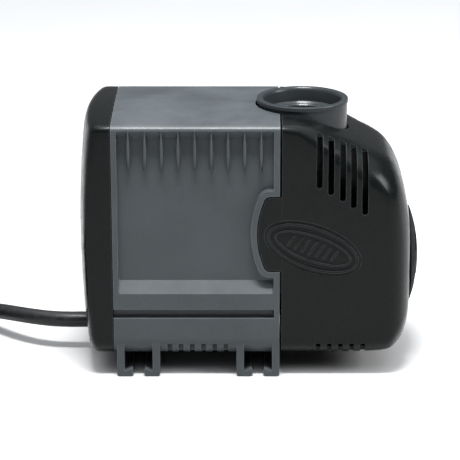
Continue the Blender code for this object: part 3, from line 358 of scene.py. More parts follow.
def wound_wire(name):
    """Enamelled copper wire laid in turns round an upright leg."""
    finish = Finish(name, Metallic=0.85, Roughness=0.35)
    where = finish.place()
    turns = finish.node("TexWave", {"bands_direction": "Z", "wave_profile": "SIN"},
                        {"Vector": where, "Scale": 260.0, "Distortion": 0.6,
                         "Detail": 2.0, "Detail Scale": 3.0})
    tone = finish.noise(where, 160.0, 3.0)
    # The colour follows the waves of the bump: the dark troughs between turns are painted shade and the
    # bright crowns are painted highlight.
    base = finish.blend(finish.range(turns, 0.1, 0.7), rgb(0.16, 0.05, 0.02), rgb(0.62, 0.27, 0.1))
    base = finish.blend(finish.range(tone, 0.4, 0.7) * 0.35, base, rgb(0.42, 0.14, 0.04))
    finish.feed("Base Color", base)
    finish.feed("Roughness", finish.range(tone, 0.3, 0.7, 0.26, 0.44))
    finish.feed("Normal", finish.bump(turns, 0.8, 0.0002))
    return finish.material


def laminated_iron(name):
    """A stack of stamped sheets: thin edges across the stack, with a brown oxide cast."""
    finish = Finish(name, Metallic=0.9, Roughness=0.5)
    where = finish.place()
    sheets = finish.node("TexWave", {"bands_direction": "X", "wave_profile": "SAW"},
                         {"Vector": where, "Scale": 300.0, "Distortion": 0.15})
    oxide = finish.noise(where, 90.0, 5.0, 0.65)
    base = finish.blend(finish.range(sheets, 0.05, 0.4), rgb(0.1, 0.1, 0.1), rgb(0.3, 0.3, 0.31))
    base = finish.blend(finish.range(oxide, 0.52, 0.72) * 0.5, base, rgb(0.2, 0.11, 0.06))
    finish.feed("Base Color", base)
    finish.feed("Roughness", finish.range(oxide, 0.3, 0.7, 0.4, 0.62))
    finish.feed("Normal", finish.bump(sheets, 0.6, 0.0001))
    return finish.material


# Each plastic's second colour is its wear colour and also the colour of its painted edge highlight.
housing_grey = moulded_plastic("housing_grey", rgb(0.033, 0.039, 0.0425), rgb(0.15, 0.168, 0.18), 0.38,
                                dust_and_top_lightening=0.04, shine=0.26)
cover_black = moulded_plastic("cover_black", rgb(0.003, 0.0038, 0.0037), rgb(0.07, 0.078, 0.08), 0.25, 0.003,
                                shine=0.13, scuffing=0.01)
chamber_grey = moulded_plastic("chamber_grey", rgb(0.018, 0.021, 0.023), rgb(0.1, 0.112, 0.12), 0.28, 0.01,
                                shine=0.2)
dial_black = moulded_plastic("dial_black", rgb(0.007, 0.0085, 0.009), rgb(0.05, 0.056, 0.058), 0.6, 0.004,
                              shine=0.03, scuffing=0.01)
bobbin_nylon = moulded_plastic("bobbin_nylon", rgb(0.7, 0.68, 0.6), rgb(0.86, 0.85, 0.8), 0.5)
impeller_plastic = moulded_plastic("impeller_plastic", rgb(0.58, 0.59, 0.58), rgb(0.8, 0.8, 0.79), 0.42)
bearing_ceramic = moulded_plastic("bearing_ceramic", rgb(0.83, 0.82, 0.77), rgb(0.93, 0.93, 0.9), 0.24, 0.015)
magnet_ferrite = moulded_plastic("magnet_ferrite", rgb(0.045, 0.045, 0.05), rgb(0.12, 0.12, 0.125),
                                 0.58, 0.06)
potting_resin = moulded_plastic("potting_resin", rgb(0.026, 0.026, 0.029), rgb(0.06, 0.06, 0.064), 0.22, 0.01)
seal_rubber = rubber("seal_rubber", rgb(0.018, 0.018, 0.018), 0.72)
cord_rubber = rubber("cord_rubber", rgb(0.007, 0.0073, 0.008), 0.36)
lead_brown = rubber("lead_brown", rgb(0.14, 0.06, 0.03), 0.45)
lead_blue = rubber("lead_blue", rgb(0.02, 0.08, 0.35), 0.45)
lead_green = rubber("lead_green", rgb(0.08, 0.32, 0.05), 0.45)
screw_steel = drawn_metal("screw_steel", rgb(0.6, 0.6, 0.61), 0.26, rgb(0.36, 0.35, 0.34))
plug_brass = drawn_metal("plug_brass", rgb(0.75, 0.6, 0.33), 0.27, rgb(0.4, 0.28, 0.13), (14.0, 1.0, 14.0))
winding_copper = wound_wire("winding_copper")
core_iron = laminated_iron("core_iron")


# ---------------------------------------------------------------- mesh making, in millimetres

def loft(rings):
    """A closed body: a circle drawn to the first ring, extruded through the others, and capped."""
    bm = bmesh.new()
    row = list(bmesh.ops.create_circle(bm, segments=len(rings[0]), radius=1.0)["verts"])
    for vert, place in zip(row, rings[0]):
        vert.co = place
    edges = list(bm.edges)
    for ring in rings[1:]:
        grown = bmesh.ops.extrude_edge_only(bm, edges=edges)["geom"]
        fresh = {item for item in grown if isinstance(item, bmesh.types.BMVert)}
        edges = [item for item in grown if isinstance(item, bmesh.types.BMEdge) and set(item.verts) <= fresh]
        row = [next(e.other_vert(v) for e in v.link_edges if e.other_vert(v) in fresh) for v in row]
        for vert, place in zip(row, ring):
            vert.co = place
    ends = [e for e in bm.edges if e.is_boundary]
    bmesh.ops.holes_fill(bm, edges=ends, sides=0)
    bmesh.ops.recalc_face_normals(bm, faces=bm.faces)
    return bm


def triangulated(bm):
    """Flat triangles only: end faces become fans, and every other face is halved."""
    bmesh.ops.poke(bm, faces=[f for f in bm.faces if len(f.verts) > 4])
    bmesh.ops.triangulate(bm, faces=bm.faces)
    return bm


def prism(outline, axis, low, high):
    """An outline of (a, b) pairs pushed along an axis: X takes (y, z), Y takes (x, z), Z takes (x, y)."""
    bm = bmesh.new()
    ring = bmesh.ops.create_circle(bm, segments=len(outline), radius=1.0, cap_ends=True)["verts"]
    for vert, (a, b) in zip(ring, outline):
        vert.co = {"X": (low, a, b), "Y": (a, low, b), "Z": (a, b, low)}[axis]
    push = {"X": Vector((1, 0, 0)), "Y": Vector((0, 1, 0)), "Z": Vector((0, 0, 1))}[axis] * (high - low)
    top = bmesh.ops.extrude_face_region(bm, geom=list(bm.faces))["geom"]
    bmesh.ops.translate(bm, verts=[v for v in top if isinstance(v, bmesh.types.BMVert)], vec=push)
    bmesh.ops.recalc_face_normals(bm, faces=bm.faces)
    return bm


def turned(profile, axis, centre, steps=72):
    """A profile of (distance along the axis, radius) pairs spun once round the axis."""
    bm = bmesh.new()
    across = {"X": Vector((0, 0, 1)), "Y": Vector((0, 0, 1)), "Z": Vector((1, 0, 0))}[axis]
    along = {"X": Vector((1, 0, 0)), "Y": Vector((0, 1, 0)), "Z": Vector((0, 0, 1))}[axis]
    verts = [bm.verts.new(Vector(centre) + along * a + across * r) for a, r in profile]
    edges = [bm.edges.new(pair) for pair in zip(verts, verts[1:])]
    bmesh.ops.spin(bm, geom=verts + edges, cent=centre, axis=along, angle=TURN, steps=steps, use_merge=True)
    bmesh.ops.remove_doubles(bm, verts=bm.verts, dist=1e-4)
    bmesh.ops.holes_fill(bm, edges=[e for e in bm.edges if e.is_boundary], sides=0)
    bmesh.ops.recalc_face_normals(bm, faces=bm.faces)
    return bm


def together(parts):
    """One bmesh of several bodies that don't touch."""
    whole = bmesh.new()
    for bm in parts:
        mesh = bpy.data.meshes.new("body")
        bm.to_mesh(mesh)
        bm.free()
        whole.from_mesh(mesh)
        bpy.data.meshes.remove(mesh)
    return whole


def both_sides(make):
    return together([make(-1), make(1)])


def solid(bm, name):
    """A mesh object in metres whose place is in its mesh."""
    bmesh.ops.remove_doubles(bm, verts=bm.verts, dist=1e-4)
    bmesh.ops.scale(bm, verts=bm.verts, vec=(MM, MM, MM))
    mesh = bpy.data.meshes.new(name)
    bm.to_mesh(mesh)
    bm.free()
    obj = bpy.data.objects.new(name, mesh)
    bpy.context.scene.collection.objects.link(obj)
    return obj


def bake_modifiers(obj):
    graph = bpy.context.evaluated_depsgraph_get()
    made = bpy.data.meshes.new_from_object(obj.evaluated_get(graph))
    obj.modifiers.clear()
    old = obj.data
    obj.data = made
    bpy.data.meshes.remove(old)


def fit(obj, operation, bm):
    """Joins a body to the object, or cuts it away."""
    tool = solid(bm, "tool")
    modifier = obj.modifiers.new("fit", "BOOLEAN")
    modifier.operation = operation
    modifier.solver = "EXACT"
    modifier.object = tool
    bake_modifiers(obj)
    mesh = tool.data
    bpy.data.objects.remove(tool)
    bpy.data.meshes.remove(mesh)


def cut(obj, bm):
    fit(obj, "DIFFERENCE", bm)


def join(obj, bm):
    fit(obj, "UNION", bm)


def dress(obj, material, body, slot, *nodes, edge, angle=32.0):
    """Gives a piece its finish, rounded edges and body, and hides the nodes that it stands for; the slot
    argument is not used.
    """
    obj.data.materials.clear()
    obj.data.materials.append(material)
    obj.data.shade_smooth()
    obj.data.set_sharp_from_angle(angle=math.radians(angle))
    rounding = obj.modifiers.new("edges", "BEVEL")
    rounding.width = edge * MM
    rounding.segments = 2
    rounding.limit_method = "ANGLE"
    rounding.angle_limit = math.radians(angle)
    rounding.harden_normals = True
    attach(obj, body)
    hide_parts(*nodes)
    return obj


def rounded(corners, steps=6):
    """Corner points (a, b, radius) of an outline, each corner with a radius turned into an arc."""
    points = []
    count = len(corners)
    for i, (a, b, radius) in enumerate(corners):
        here = Vector((a, b))
        if radius <= 0:
            points.append((a, b))
            continue
        before = (Vector(corners[i - 1][:2]) - here).normalized()
        after = (Vector(corners[(i + 1) % count][:2]) - here).normalized()
        half = before.angle(after) / 2
        centre = here + (before + after).normalized() * radius / math.sin(half)
        start = here + before * radius / math.tan(half) - centre
        sweep = start.angle_signed(here + after * radius / math.tan(half) - centre)
        for k in range(steps + 1):
            points.append(tuple(centre + Matrix.Rotation(-sweep * k / steps, 2) @ start))
    return points


def circle(centre, radius, count, start=0.04):
    return [(centre[0] + radius * math.cos(start + TURN * i / count),
             centre[1] + radius * math.sin(start + TURN * i / count)) for i in range(count)]


def rod(axis, centre, radius, low, high, count=48):
    return prism(circle(centre, radius, count), axis, low, high)


def section(half, low, high, r_low, r_high, crown=0.0, steps=8):
    """The pump's upright section as (y, z) points: rounded corners and a crowned top."""
    r_low, r_high = min(r_low, half * 0.9), min(r_high, half * 0.9)
    straight = (low + r_low, high - r_high)
    side = [(half, straight[0] + (straight[1] - straight[0]) * f, 0) for f in (0.2, 0.45, 0.7, 0.88)]
    top = [((half - r_high) * f, high, 0) for f in (0.8, 0.6, 0.4, 0.2, 0.0, -0.2, -0.4, -0.6, -0.8)]
    corners = (
        [((half - r_low) * f, low, 0) for f in (-0.5, 0.0, 0.5)]
        + [(half, low, r_low)] + side + [(half, high, r_high)]
        + top + [(-half, high, r_high)] + [(-y, z, 0) for y, z, _ in reversed(side)]
        + [(-half, low, r_low)]
    )
    middle = (low + high) / 2
    return [(y, z + crown * (1 - (y / half) ** 2) * max(0.0, (z - middle) / (high - middle)))
            for y, z in rounded(corners, steps)]


def smooth_step(value):
    value = min(max(value, 0.0), 1.0)
    return value * value * (3 - 2 * value)


def between(rows, parts):
    """Rows of numbers with `parts` steps of a smooth curve between each two."""
    first = [2 * a - b for a, b in zip(rows[0], rows[1])]
    last = [2 * a - b for a, b in zip(rows[-1], rows[-2])]
    ends = [first] + [list(r) for r in rows] + [last]
    fine = []
    for p, q, r, s in zip(ends, ends[1:], ends[2:], ends[3:]):
        for k in range(parts):
            t = k / parts
            fine.append([0.5 * (2 * b + (c - a) * t + (2 * a - 5 * b + 4 * c - d) * t * t
                                + (3 * b - a - 3 * c + d) * t ** 3) for a, b, c, d in zip(p, q, r, s)])
    fine.append(list(rows[-1]))
    return fine


# ---------------------------------------------------------------- cord, tie and plug

def coil_points():
    """The coiled length: three turns on the floor, two on top of them, and a last part that crosses over."""
    stages = (
        (60, TURN_RADII[0], CORD_RADIUS), (350, TURN_RADII[0], CORD_RADIUS),
        (420, TURN_RADII[1], CORD_RADIUS), (710, TURN_RADII[1], CORD_RADIUS),
        (780, TURN_RADII[2], CORD_RADIUS), (1000, TURN_RADII[2], CORD_RADIUS),
        (1070, TURN_RADII[2], 3 * CORD_RADIUS + 0.1), (1290, TURN_RADII[2], 3 * CORD_RADIUS + 0.1),
        (1360, TURN_RADII[1], 3 * CORD_RADIUS + 0.1), (1575, TURN_RADII[1], 3 * CORD_RADIUS + 0.1),
        (1650, TURN_RADII[1], 18.3), (1820, TURN_RADII[1] - 0.4, 18.4), (1874, 36.6, 18.4),
    )
    points = []
    for (a0, r0, z0), (a1, r1, z1) in zip(stages, stages[1:]):
        count = max(2, round((a1 - a0) / 6))
        for k in range(count):
            share = k / count
            ease = smooth_step(share)
            angle = math.radians(a0 + (a1 - a0) * share)
            radius = r0 + (r1 - r0) * ease
            points.append((COIL_CENTRE[0] + radius * math.cos(angle),
                           COIL_CENTRE[1] + radius * math.sin(angle), z0 + (z1 - z0) * ease))
    return points


def make_cord():
    route = between(CORD_ROUTE, 4)
    joined = [(-144.6, 50.4, 3.6), (-148.4, 52.6, 3.6), (-152.6, 53.0, 3.6)]
    points = route + joined + coil_points()[1:] + between(CORD_TAIL, 4)
    curve = bpy.data.curves.new("supply_cord", "CURVE")
    curve.dimensions = "3D"
    curve.bevel_depth = CORD_RADIUS * MM
    curve.bevel_resolution = 6
    curve.use_fill_caps = True
    spline = curve.splines.new("POLY")
    spline.points.add(len(points) - 1)
    for point, place in zip(spline.points, points):
        point.co = (*(Vector(place) * MM), 1.0)
    cord = bpy.data.objects.new("supply_cord", curve)
    bpy.context.scene.collection.objects.link(cord)
    curve.materials.append(cord_rubber)
    length = sum((Vector(b) - Vector(a)).length for a, b in zip(points, points[1:])) * MM
    return cord, length


PLUG_X, PLUG_Z = -206.0, 23.9
PLUG_REAR = 11.2
PLUG_NECK = PLUG_REAR - 20.0
PLUG_FACE = PLUG_NECK - 32.0


def plug_ring(y, half_x, half_z, corner):
    corners = ((PLUG_X - half_x, PLUG_Z - half_z, corner), (PLUG_X + half_x, PLUG_Z - half_z, corner),
               (PLUG_X + half_x, PLUG_Z + half_z, corner), (PLUG_X - half_x, PLUG_Z + half_z, corner))
    return [(a, y, b) for a, b in rounded(corners, 6)]


def make_plug():
    """A moulded plug: ribbed strain relief, gripped waist and a flat face with three contact slots."""
    rings = []
    for k in range(6):
        y = PLUG_REAR - 3.0 * k
        size = 4.5 + 0.26 * k
        rings += [plug_ring(y - d, size + g, size + g, (size + g) * 0.9)
                  for d, g in ((0.0, 0.0), (1.5, 0.0), (1.7, -0.8), (2.8, -0.8))]
    rings += [plug_ring(PLUG_NECK + 2, 5.9, 5.9, 5.2), plug_ring(PLUG_NECK - 1, 6.9, 6.75, 5.0)]
    for depth, half_x, half_z in ((5, 10.0, 8.1), (9, 11.2, 8.7), (12, 11.7, 8.9)):
        rings.append(plug_ring(PLUG_NECK - depth, half_x, half_z, 6.0))
    for k in range(4):
        y = PLUG_NECK - 14.0 - 3.0 * k
        rings += [plug_ring(y - d, 11.9 - g, 8.95 - 0.5 * g, 6.0 - g)
                  for d, g in ((0, 0), (0.5, 0.7), (1.6, 0.7), (2.1, 0))]
    rings += [plug_ring(PLUG_FACE + 1.2, 12.4, 8.95, 6.0), plug_ring(PLUG_FACE + 0.3, 12.1, 8.6, 5.8),
              plug_ring(PLUG_FACE, 11.7, 8.2, 5.4)]
    plug = solid(loft(rings), "plug_shell")
    corners = ((-1, -1), (1, -1), (1, 1), (-1, 1))
    slots = [prism([(PLUG_X + dx + 1.05 * sx, PLUG_Z + 2.0 + 3.45 * sz) for sx, sz in corners],
                   "Y", PLUG_FACE - 2, PLUG_FACE + 8) for dx in (-6.35, 6.35)]
    slots.append(prism(circle((PLUG_X, PLUG_Z - 4.4), 2.6, 32), "Y", PLUG_FACE - 2, PLUG_FACE + 8))
    cut(plug, together(slots))
    return dress(plug, cord_rubber, "pump", "cord_rubber", "plug_body", edge=0.2)


def make_tie():
    """A strap round the bundle, grooved across its top."""
    middle = COIL_CENTRE[1] - TURN_RADII[1]
    half, height = 11.1, 14.7
    outer = ((middle - half - 0.9, 0.0, 0.3), (middle + half + 0.9, 0.0, 0.3),
             (middle + half + 0.9, height + 0.9, 1.6), (middle - half - 0.9, height + 0.9, 1.6))
    inner = ((middle - half, -1.0, 0), (middle + half, -1.0, 0), (middle + half, height, 0.6),
             (middle - half, height, 0.6))
    strap = solid(prism(rounded(outer, 4), "X", COIL_CENTRE[0] - 2.4, COIL_CENTRE[0] + 2.4), "bundle_strap")
    cut(strap, prism(rounded(inner, 4), "X", COIL_CENTRE[0] - 4, COIL_CENTRE[0] + 4))
    corners = ((-1, height + 0.5), (1, height + 0.5), (1, 20), (-1, 20))
    grooves = [prism([(middle + d + s * 0.35, z) for s, z in corners],
                     "X", COIL_CENTRE[0] - 1.7, COIL_CENTRE[0] + 1.7) for d in range(-9, 10, 2)]
    cut(strap, together(grooves))
    return dress(strap, seal_rubber, "pump", "seal_rubber", "cord_tie", edge=0.15)


cord, cord_length = make_cord()
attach(cord, "pump")
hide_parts("power_cord", "cord_coil", "cord_tail")
plug = make_plug()
tie = make_tie()


# ---------------------------------------------------------------- motor housing

def tab_arc(grow):
    """Corners of the cover's side tab from top to bottom: its free edge bulges towards the rear cap."""
    low, high = TAB_Z
    middle, half = (low + high) / 2, (high - low) / 2
    points = [(TAB_X - grow, high + grow, 2.4 + grow)]
    for k in range(1, 16):
        share = 1 - k / 8
        points.append((TAB_X - grow - TAB_BULGE * (1 - share ** 2), middle + share * (half + 0.5 * grow), 0))
    points.append((TAB_X - grow, low - grow, 2.4 + grow))
    return points


def tab_outline(grow, reach):
    """The tab's outline, grown outward by `grow`, running forward to x = `reach`."""
    low, high = TAB_Z
    return rounded([(reach, high + grow, 0)] + tab_arc(grow) + [(reach, low - grow, 0)], 8)


def recess_outline(bottom, top):
    left, right = PANEL_X
    low, high = TAB_Z
    rim = RECESS_RIM
    corners = [(left, bottom, 1.0), (right, bottom, 1.0), (right, low - rim, 0.5)]
    corners += tab_arc(rim)[::-1]
    corners += [(right, high + rim, 0.5), (right, top, 1.0), (left, top, 1.0)]
    return rounded(corners, 6)


def side_recess(side):
    """The framed panel, widening outward along the sloped ledge and the hood over the fins."""
    beyond = 3.0
    low_slope = (LEDGE[1] - LEDGE[0]) / PANEL_DEPTH
    high_slope = (PANEL_TOP[1] - PANEL_TOP[0]) / PANEL_DEPTH
    outer = recess_outline(LEDGE[0] - low_slope * beyond, PANEL_TOP[1] + high_slope * beyond)
    inner = recess_outline(LEDGE[1], PANEL_TOP[0])
    return loft([[(x, side * (HALF + beyond), z) for x, z in outer],
                 [(x, side * (HALF - PANEL_DEPTH), z) for x, z in inner]])


FIN_PROFILE = ((-1.0, 0.0), (-0.94, 0.5), (-0.78, 0.8), (-0.5, 0.95), (-0.17, 1.0),
               (0.17, 1.0), (0.5, 0.95), (0.78, 0.8), (0.94, 0.5), (1.0, 0.0))


def fin(side, index):
    """A slim lens, sharp at its top under the shoulder and run out to a blunt point at its foot."""
    x = FIN_FIRST + index * FIN_PITCH
    low, high = FIN_Z
    floor = HALF - PANEL_DEPTH
    rings = []
    for share in (0.0, 0.06, 0.14, 0.26, 0.4, 0.55, 0.7, 0.82, 0.92, 1.0):
        z = low + (high - low) * share
        half = 1.15 * (0.42 + 0.58 * math.sin(math.pi * min(share * 1.1 + 0.06, 1.0)) ** 0.7)
        proud = floor + (PANEL_DEPTH - 0.25) * smooth_step(share * 3.6 + 0.12)
        rings.append([(x + half * dx, side * (floor - 0.7 + (proud - floor + 0.7) * dy), z)
                      for dx, dy in FIN_PROFILE])
    return loft(rings)


def foot_wall(centre, mirror, top, ys):
    """One wall of a foot with the inward lip at its mouth, pushed between two places across the pump."""
    corners = ((9.5, top, 0), (9.6, 8.0, 0), (9.5, 0.0, 1.2), (3.3, 0.0, 0.7), (2.3, 2.0, 0.3),
               (2.7, 4.0, 0.6), (6.3, 2.4, 0.5), (6.3, top, 0))
    return prism([(centre + mirror * a, b) for a, b in rounded(corners, 4)], "Y", *ys)


def feet():
    """Two channels across the pump: their walls run up its rounded lower corners at both ends."""
    reach = HALF - 0.3
    walls = []
    for centre in FOOT_X:
        for mirror in (-1, 1):
            walls.append(foot_wall(centre, mirror, 11.6, (-reach + 6.5, reach - 6.5)))
    return together(walls)


def foot_ends():
    """The outer ends of the same walls, taller, where the pump's lower corners curve up."""
    reach = HALF - 0.3
    return together([foot_wall(centre, mirror, 18.6, (side * reach, side * (reach - 6.7)))
                     for centre in FOOT_X for mirror in (-1, 1) for side in (-1, 1)])


def vent(side, x):
    left, right = x - VENT_HALF, x + VENT_HALF
    corners = ((left, 4.0, 0), (right, 4.0, 0), (right, VENT_TOP, 0.9), (left, VENT_TOP, 0.9))
    return prism(rounded(corners, 5), "Y", side * (HALF + 2), side * (HALF - VENT_DEPTH))


def vents(first, count):
    return together([vent(side, first + VENT_PITCH * k) for side in (-1, 1) for k in range(count)])


SCREW_PLACES = [(y, ROTOR_Z + z) for y in (-SCREW_OFFSET, SCREW_OFFSET)
                for z in (-SCREW_OFFSET, SCREW_OFFSET)]


def make_housing():
    ring = section(HALF, UNDERSIDE, SHOULDER, BOTTOM_RADIUS, TOP_RADIUS, CROWN)
    body = solid(prism(ring, "X", REAR, FRONT), "housing_shell")
    inside = section(CAVITY_HALF, CAVITY_FLOOR, CAVITY_TOP, 6.0, 4.0)
    cut(body, together([prism(inside, "X", REAR - 2, -2.0), prism(inside, "X", 2.0, FRONT + 2)]))
    cut(body, rod("Z", (OUTLET_X, 0), RIM_RADIUS + COLLAR_GAP, CAVITY_TOP - 6, RIM_TOP + 4, 72))
    cut(body, both_sides(side_recess))
    cut(body, both_sides(lambda s: prism(tab_outline(0.55, FRONT + 3), "Y",
                                         s * (HALF - 3.2), s * (HALF + 3))))
    cut(body, both_sides(lambda s: prism(((REAR - 2, GROOVE[0]), (FRONT - 2.3, GROOVE[0]),
                                          (FRONT - 2.3, GROOVE[1]), (REAR - 2, GROOVE[1])),
                                         "Y", s * (HALF - GROOVE_DEPTH), s * (HALF + 3))))
    cut(body, vents(-35.5, 6))
    cut(body, rod("X", (0, ROTOR_Z), 15.3, -3.0, 3.0, 56))
    cut(body, together([rod("X", at, SCREW_HOLE, -3.0, 3.0, 24) for at in SCREW_PLACES]))
    join(body, together([fin(s, k) for s in (-1, 1) for k in range(FIN_COUNT)]))
    join(body, feet())
    join(body, foot_ends())
    return dress(body, housing_grey, "pump", "housing_grey", "motor_housing", edge=0.3)


# ---------------------------------------------------------------- rear cap

def cap_form(inset, front, offset):
    """The cap's outer or inner form: straight walls, a rolled edge and a domed rear."""
    base = section(HALF - inset, UNDERSIDE + inset, SHOULDER - inset,
                   BOTTOM_RADIUS - inset / 2, TOP_RADIUS, CROWN)
    rings = [[(front, y, z) for y, z in base]]
    rows = ((0, 2.2, 4.4), (0.25, 1.5, 3.1), (0.8, 0.9, 2.0), (1.5, 0.55, 1.3),
            (2.4, 0.3, 0.8), (4.2, 0.12, 0.35),
            (6.5, 0.0, 0.1), (12.0, 0.0, 0.0), (20.0, 0.0, 0.0), (27.0, 0.0, 0.0), (33.0, 0.0, 0.0))
    for drawn, side_back, top_back in rows:
        ring = section(HALF - inset - drawn, UNDERSIDE + inset + drawn, SHOULDER - inset - drawn,
                       max(BOTTOM_RADIUS - inset / 2 - drawn / 2, 2.0), TOP_RADIUS + drawn / 3, CROWN)
        row = []
        for y, z in ring:
            high = smooth_step((z - 92.0) / 22.0)
            low = smooth_step((26.0 - z) / 16.0)
            back = side_back + (top_back - side_back) * max(high, 0.6 * low)
            dome = 3.4 * (y / HALF) ** 2 + 0.0011 * (z - 62.0) ** 2
            row.append((CAP_REAR + dome + offset + back, y, z))
        rings.append(row)
    return triangulated(loft(rings))


def make_cap():
    cap = solid(cap_form(0.0, REAR - 0.3, 0.0), "cap_shell")
    cut(cap, cap_form(CAP_WALL, REAR + 4, CAP_WALL))
    cut(cap, rod("X", (0, 14.0), CORD_RADIUS + 0.3, -80.0, -62.5, 40))
    return dress(cap, cover_black, "pump", "cover_black", "rear_cap", edge=0.25, angle=38.0)


# ---------------------------------------------------------------- strainer cover

COVER_ROWS = (
    (49.6, 50.6, 0.0, 0.0, 0.2, 4.0), (40.6, 43.1, 0.0, 0.0, 2.2, 8.0), (30.0, 35.6, 0.0, 0.0, 5.8, 12.0),
    (18.5, 28.1, 0.0, 0.3, 9.8, 15.0), (10.8, 21.7, 0.0, 1.0, 13.2, 16.0), (6.9, 15.6, 1.1, 2.4, 16.2, 16.0),
    (3.8, 10.9, 3.8, 5.0, 19.0, 16.0), (1.6, 7.9, 7.6, 8.6, 22.2, 15.0), (0.5, 5.4, 10.8, 12.0, 26.2, 14.0),
    (0.0, 2.6, 13.2, 14.6, 33.6, 13.0), (0.0, 0.4, 14.8, 16.4, 44.0, 12.0),
)
COVER_SLOTS = ((30.6, 87.9, 4.6), (35.6, 84.9, 6.6), (40.8, 82.0, 9.4),
               (45.6, 78.8, 11.6), (50.6, 75.8, 14.0))
OVAL_CENTRE = (27.9, 60.6)
OVAL_AXES = (21.2, 9.6)
OVAL_TILT = math.radians(-20.0)


def cover_form(wall):
    """The cover's outer form, or its inside when `wall` is more than 0."""
    first = section(HALF - wall, UNDERSIDE + wall, SHOULDER - wall,
                    BOTTOM_RADIUS - wall / 2, 3.0, CROWN)
    rings = [[(COVER_REAR - (6.0 if wall else 0.0), y, z) for y, z in first]]
    for row in between(COVER_ROWS, 1 if wall else 3):
        low_back, high_back, side, under = (max(value, 0.0) for value in row[:4])
        over, radius = row[4:]
        high = SHOULDER - over - wall
        ring = section(HALF - side - wall, UNDERSIDE + under + wall, high,
                       BOTTOM_RADIUS + min(side, 2.0) - wall / 2, max(radius - wall / 2, 1.5), CROWN * 0.6)
        row = []
        for y, z in ring:
            rise = min(max((z - ROTOR_Z - 6.0) / (high - ROTOR_Z - 6.0), 0.0), 1.0)
            row.append((COVER_FRONT - low_back - (high_back - low_back) * rise ** 2 - wall, y, z))
        rings.append(row)
    return triangulated(loft(rings))


def ellipse(grow, count=72):
    a, b = OVAL_AXES[0] + grow, OVAL_AXES[1] + grow
    cos, sin = math.cos(OVAL_TILT), math.sin(OVAL_TILT)
    return [(OVAL_CENTRE[0] + a * math.cos(t) * cos - b * math.sin(t) * sin,
             OVAL_CENTRE[1] + a * math.cos(t) * sin + b * math.sin(t) * cos)
            for t in (TURN * k / count for k in range(count))]


def cover_slot(side, x, low, depth):
    high = SHOULDER + 4.0
    left, right = x - SLOT_HALF, x + SLOT_HALF
    corners = ((left, low, 1.2), (right, low, 1.2), (right, high, 0), (left, high, 0))
    return prism(rounded(corners, 6), "Y", side * (HALF - depth), side * (HALF + 3))


def slot_throat(side, index, x, low, depth):
    """The inner part of a slot, running in under its head so that it opens right through the wall."""
    top = SHOULDER - 5.6 - 2.33 * index
    left, right = x - SLOT_HALF, x + SLOT_HALF
    corners = ((left, low + 1.4), (right, low + 1.4), (right, top), (left, top))
    return prism(corners, "Y", side * (HALF - depth - 8.0), side * (HALF - depth + 1.0))


def dial_windows(x, radii=(9.7, 15.5)):
    bodies = []
    for quarter in range(4):
        middle = TURN * (quarter + 0.5) / 4
        angles = [middle + math.radians(46.0) * (k / 8 - 0.5) for k in range(9)]
        outline = [(radii[1] * math.cos(t), ROTOR_Z + radii[1] * math.sin(t)) for t in angles]
        outline += [(radii[0] * math.cos(t), ROTOR_Z + radii[0] * math.sin(t)) for t in reversed(angles)]
        bodies.append(prism(outline, "X", *x))
    return bodies


def grip_bar(side, index):
    """A low rounded bar across the oval, where a thumb pulls the cover."""
    along = (index - 3) * 3.4
    half = 3.6 - 0.25 * abs(index - 3)
    cos, sin = math.cos(OVAL_TILT), math.sin(OVAL_TILT)
    outline = []
    for a, b in rounded(((-0.55, -half, 0.5), (0.55, -half, 0.5), (0.55, half, 0.5), (-0.55, half, 0.5)), 4):
        a += along + 0.22 * b
        outline.append((OVAL_CENTRE[0] + a * cos - b * sin, OVAL_CENTRE[1] + a * sin + b * cos))
    return prism(outline, "Y", side * (HALF - 1.0), side * (HALF + 0.35))


def make_cover():
    cover = solid(cover_form(0.0), "cover_shell")
    cut(cover, cover_form(COVER_WALL))
    radius = RIM_RADIUS + COLLAR_GAP
    turns = [math.pi * k / 40 for k in range(41)]
    arc = [(OUTLET_X + radius * math.sin(t), -radius * math.cos(t)) for t in turns]
    notch = [(COVER_REAR - 8, -radius)] + arc + [(COVER_REAR - 8, radius)]
    openings = [cover_slot(s, *slot) for s in (-1, 1) for slot in COVER_SLOTS]
    openings += [prism(notch, "Z", 98.0, RIM_TOP + 6), vents(30.6, 5)]
    openings += [rod("X", (0, ROTOR_Z), 7.3, COVER_FRONT - 8, COVER_FRONT + 4)]
    openings += dial_windows((COVER_FRONT - 8, COVER_FRONT + 4))
    cut(cover, together(openings))
    cut(cover, together([slot_throat(s, k, *slot) for s in (-1, 1) for k, slot in enumerate(COVER_SLOTS)]))
    join(cover, both_sides(lambda s: prism(tab_outline(0.0, 18.0), "Y", s * (HALF - 2.3), s * (HALF - 0.1))))
    cut(cover, both_sides(lambda s: prism(ellipse(1.3), "Y", s * (HALF - 0.45), s * (HALF + 3))))
    for grow, width, height in ((0.0, 1.1, 0.5), (-3.4, 0.9, 0.42)):
        join(cover, both_sides(lambda s: prism(ellipse(grow), "Y", s * (HALF - 1.5), s * (HALF + height))))
        cut(cover, both_sides(lambda s: prism(ellipse(grow - width), "Y", s * (HALF - 0.35), s * (HALF + 3))))
    join(cover, together([grip_bar(s, k) for s in (-1, 1) for k in range(7)]))
    # Two screens inside the cover close the view straight through the slots.
    screens = both_sides(lambda s: prism(((39.5, 76.0), (62.0, 76.0), (62.0, 116.0), (39.5, 116.0)),
                                         "Y", s * 15.0, s * 16.6))
    rib = solid(screens, "rib")
    fit(rib, "INTERSECT", cover_form(0.8))
    stiffener = bmesh.new()
    stiffener.from_mesh(rib.data)
    bmesh.ops.scale(stiffener, verts=stiffener.verts, vec=(1 / MM, 1 / MM, 1 / MM))
    bpy.data.objects.remove(rib)
    join(cover, stiffener)
    return dress(cover, cover_black, "cover", "cover_black", "strainer_cover", edge=0.22, angle=38.0)


# ---------------------------------------------------------------- chamber with the outlet

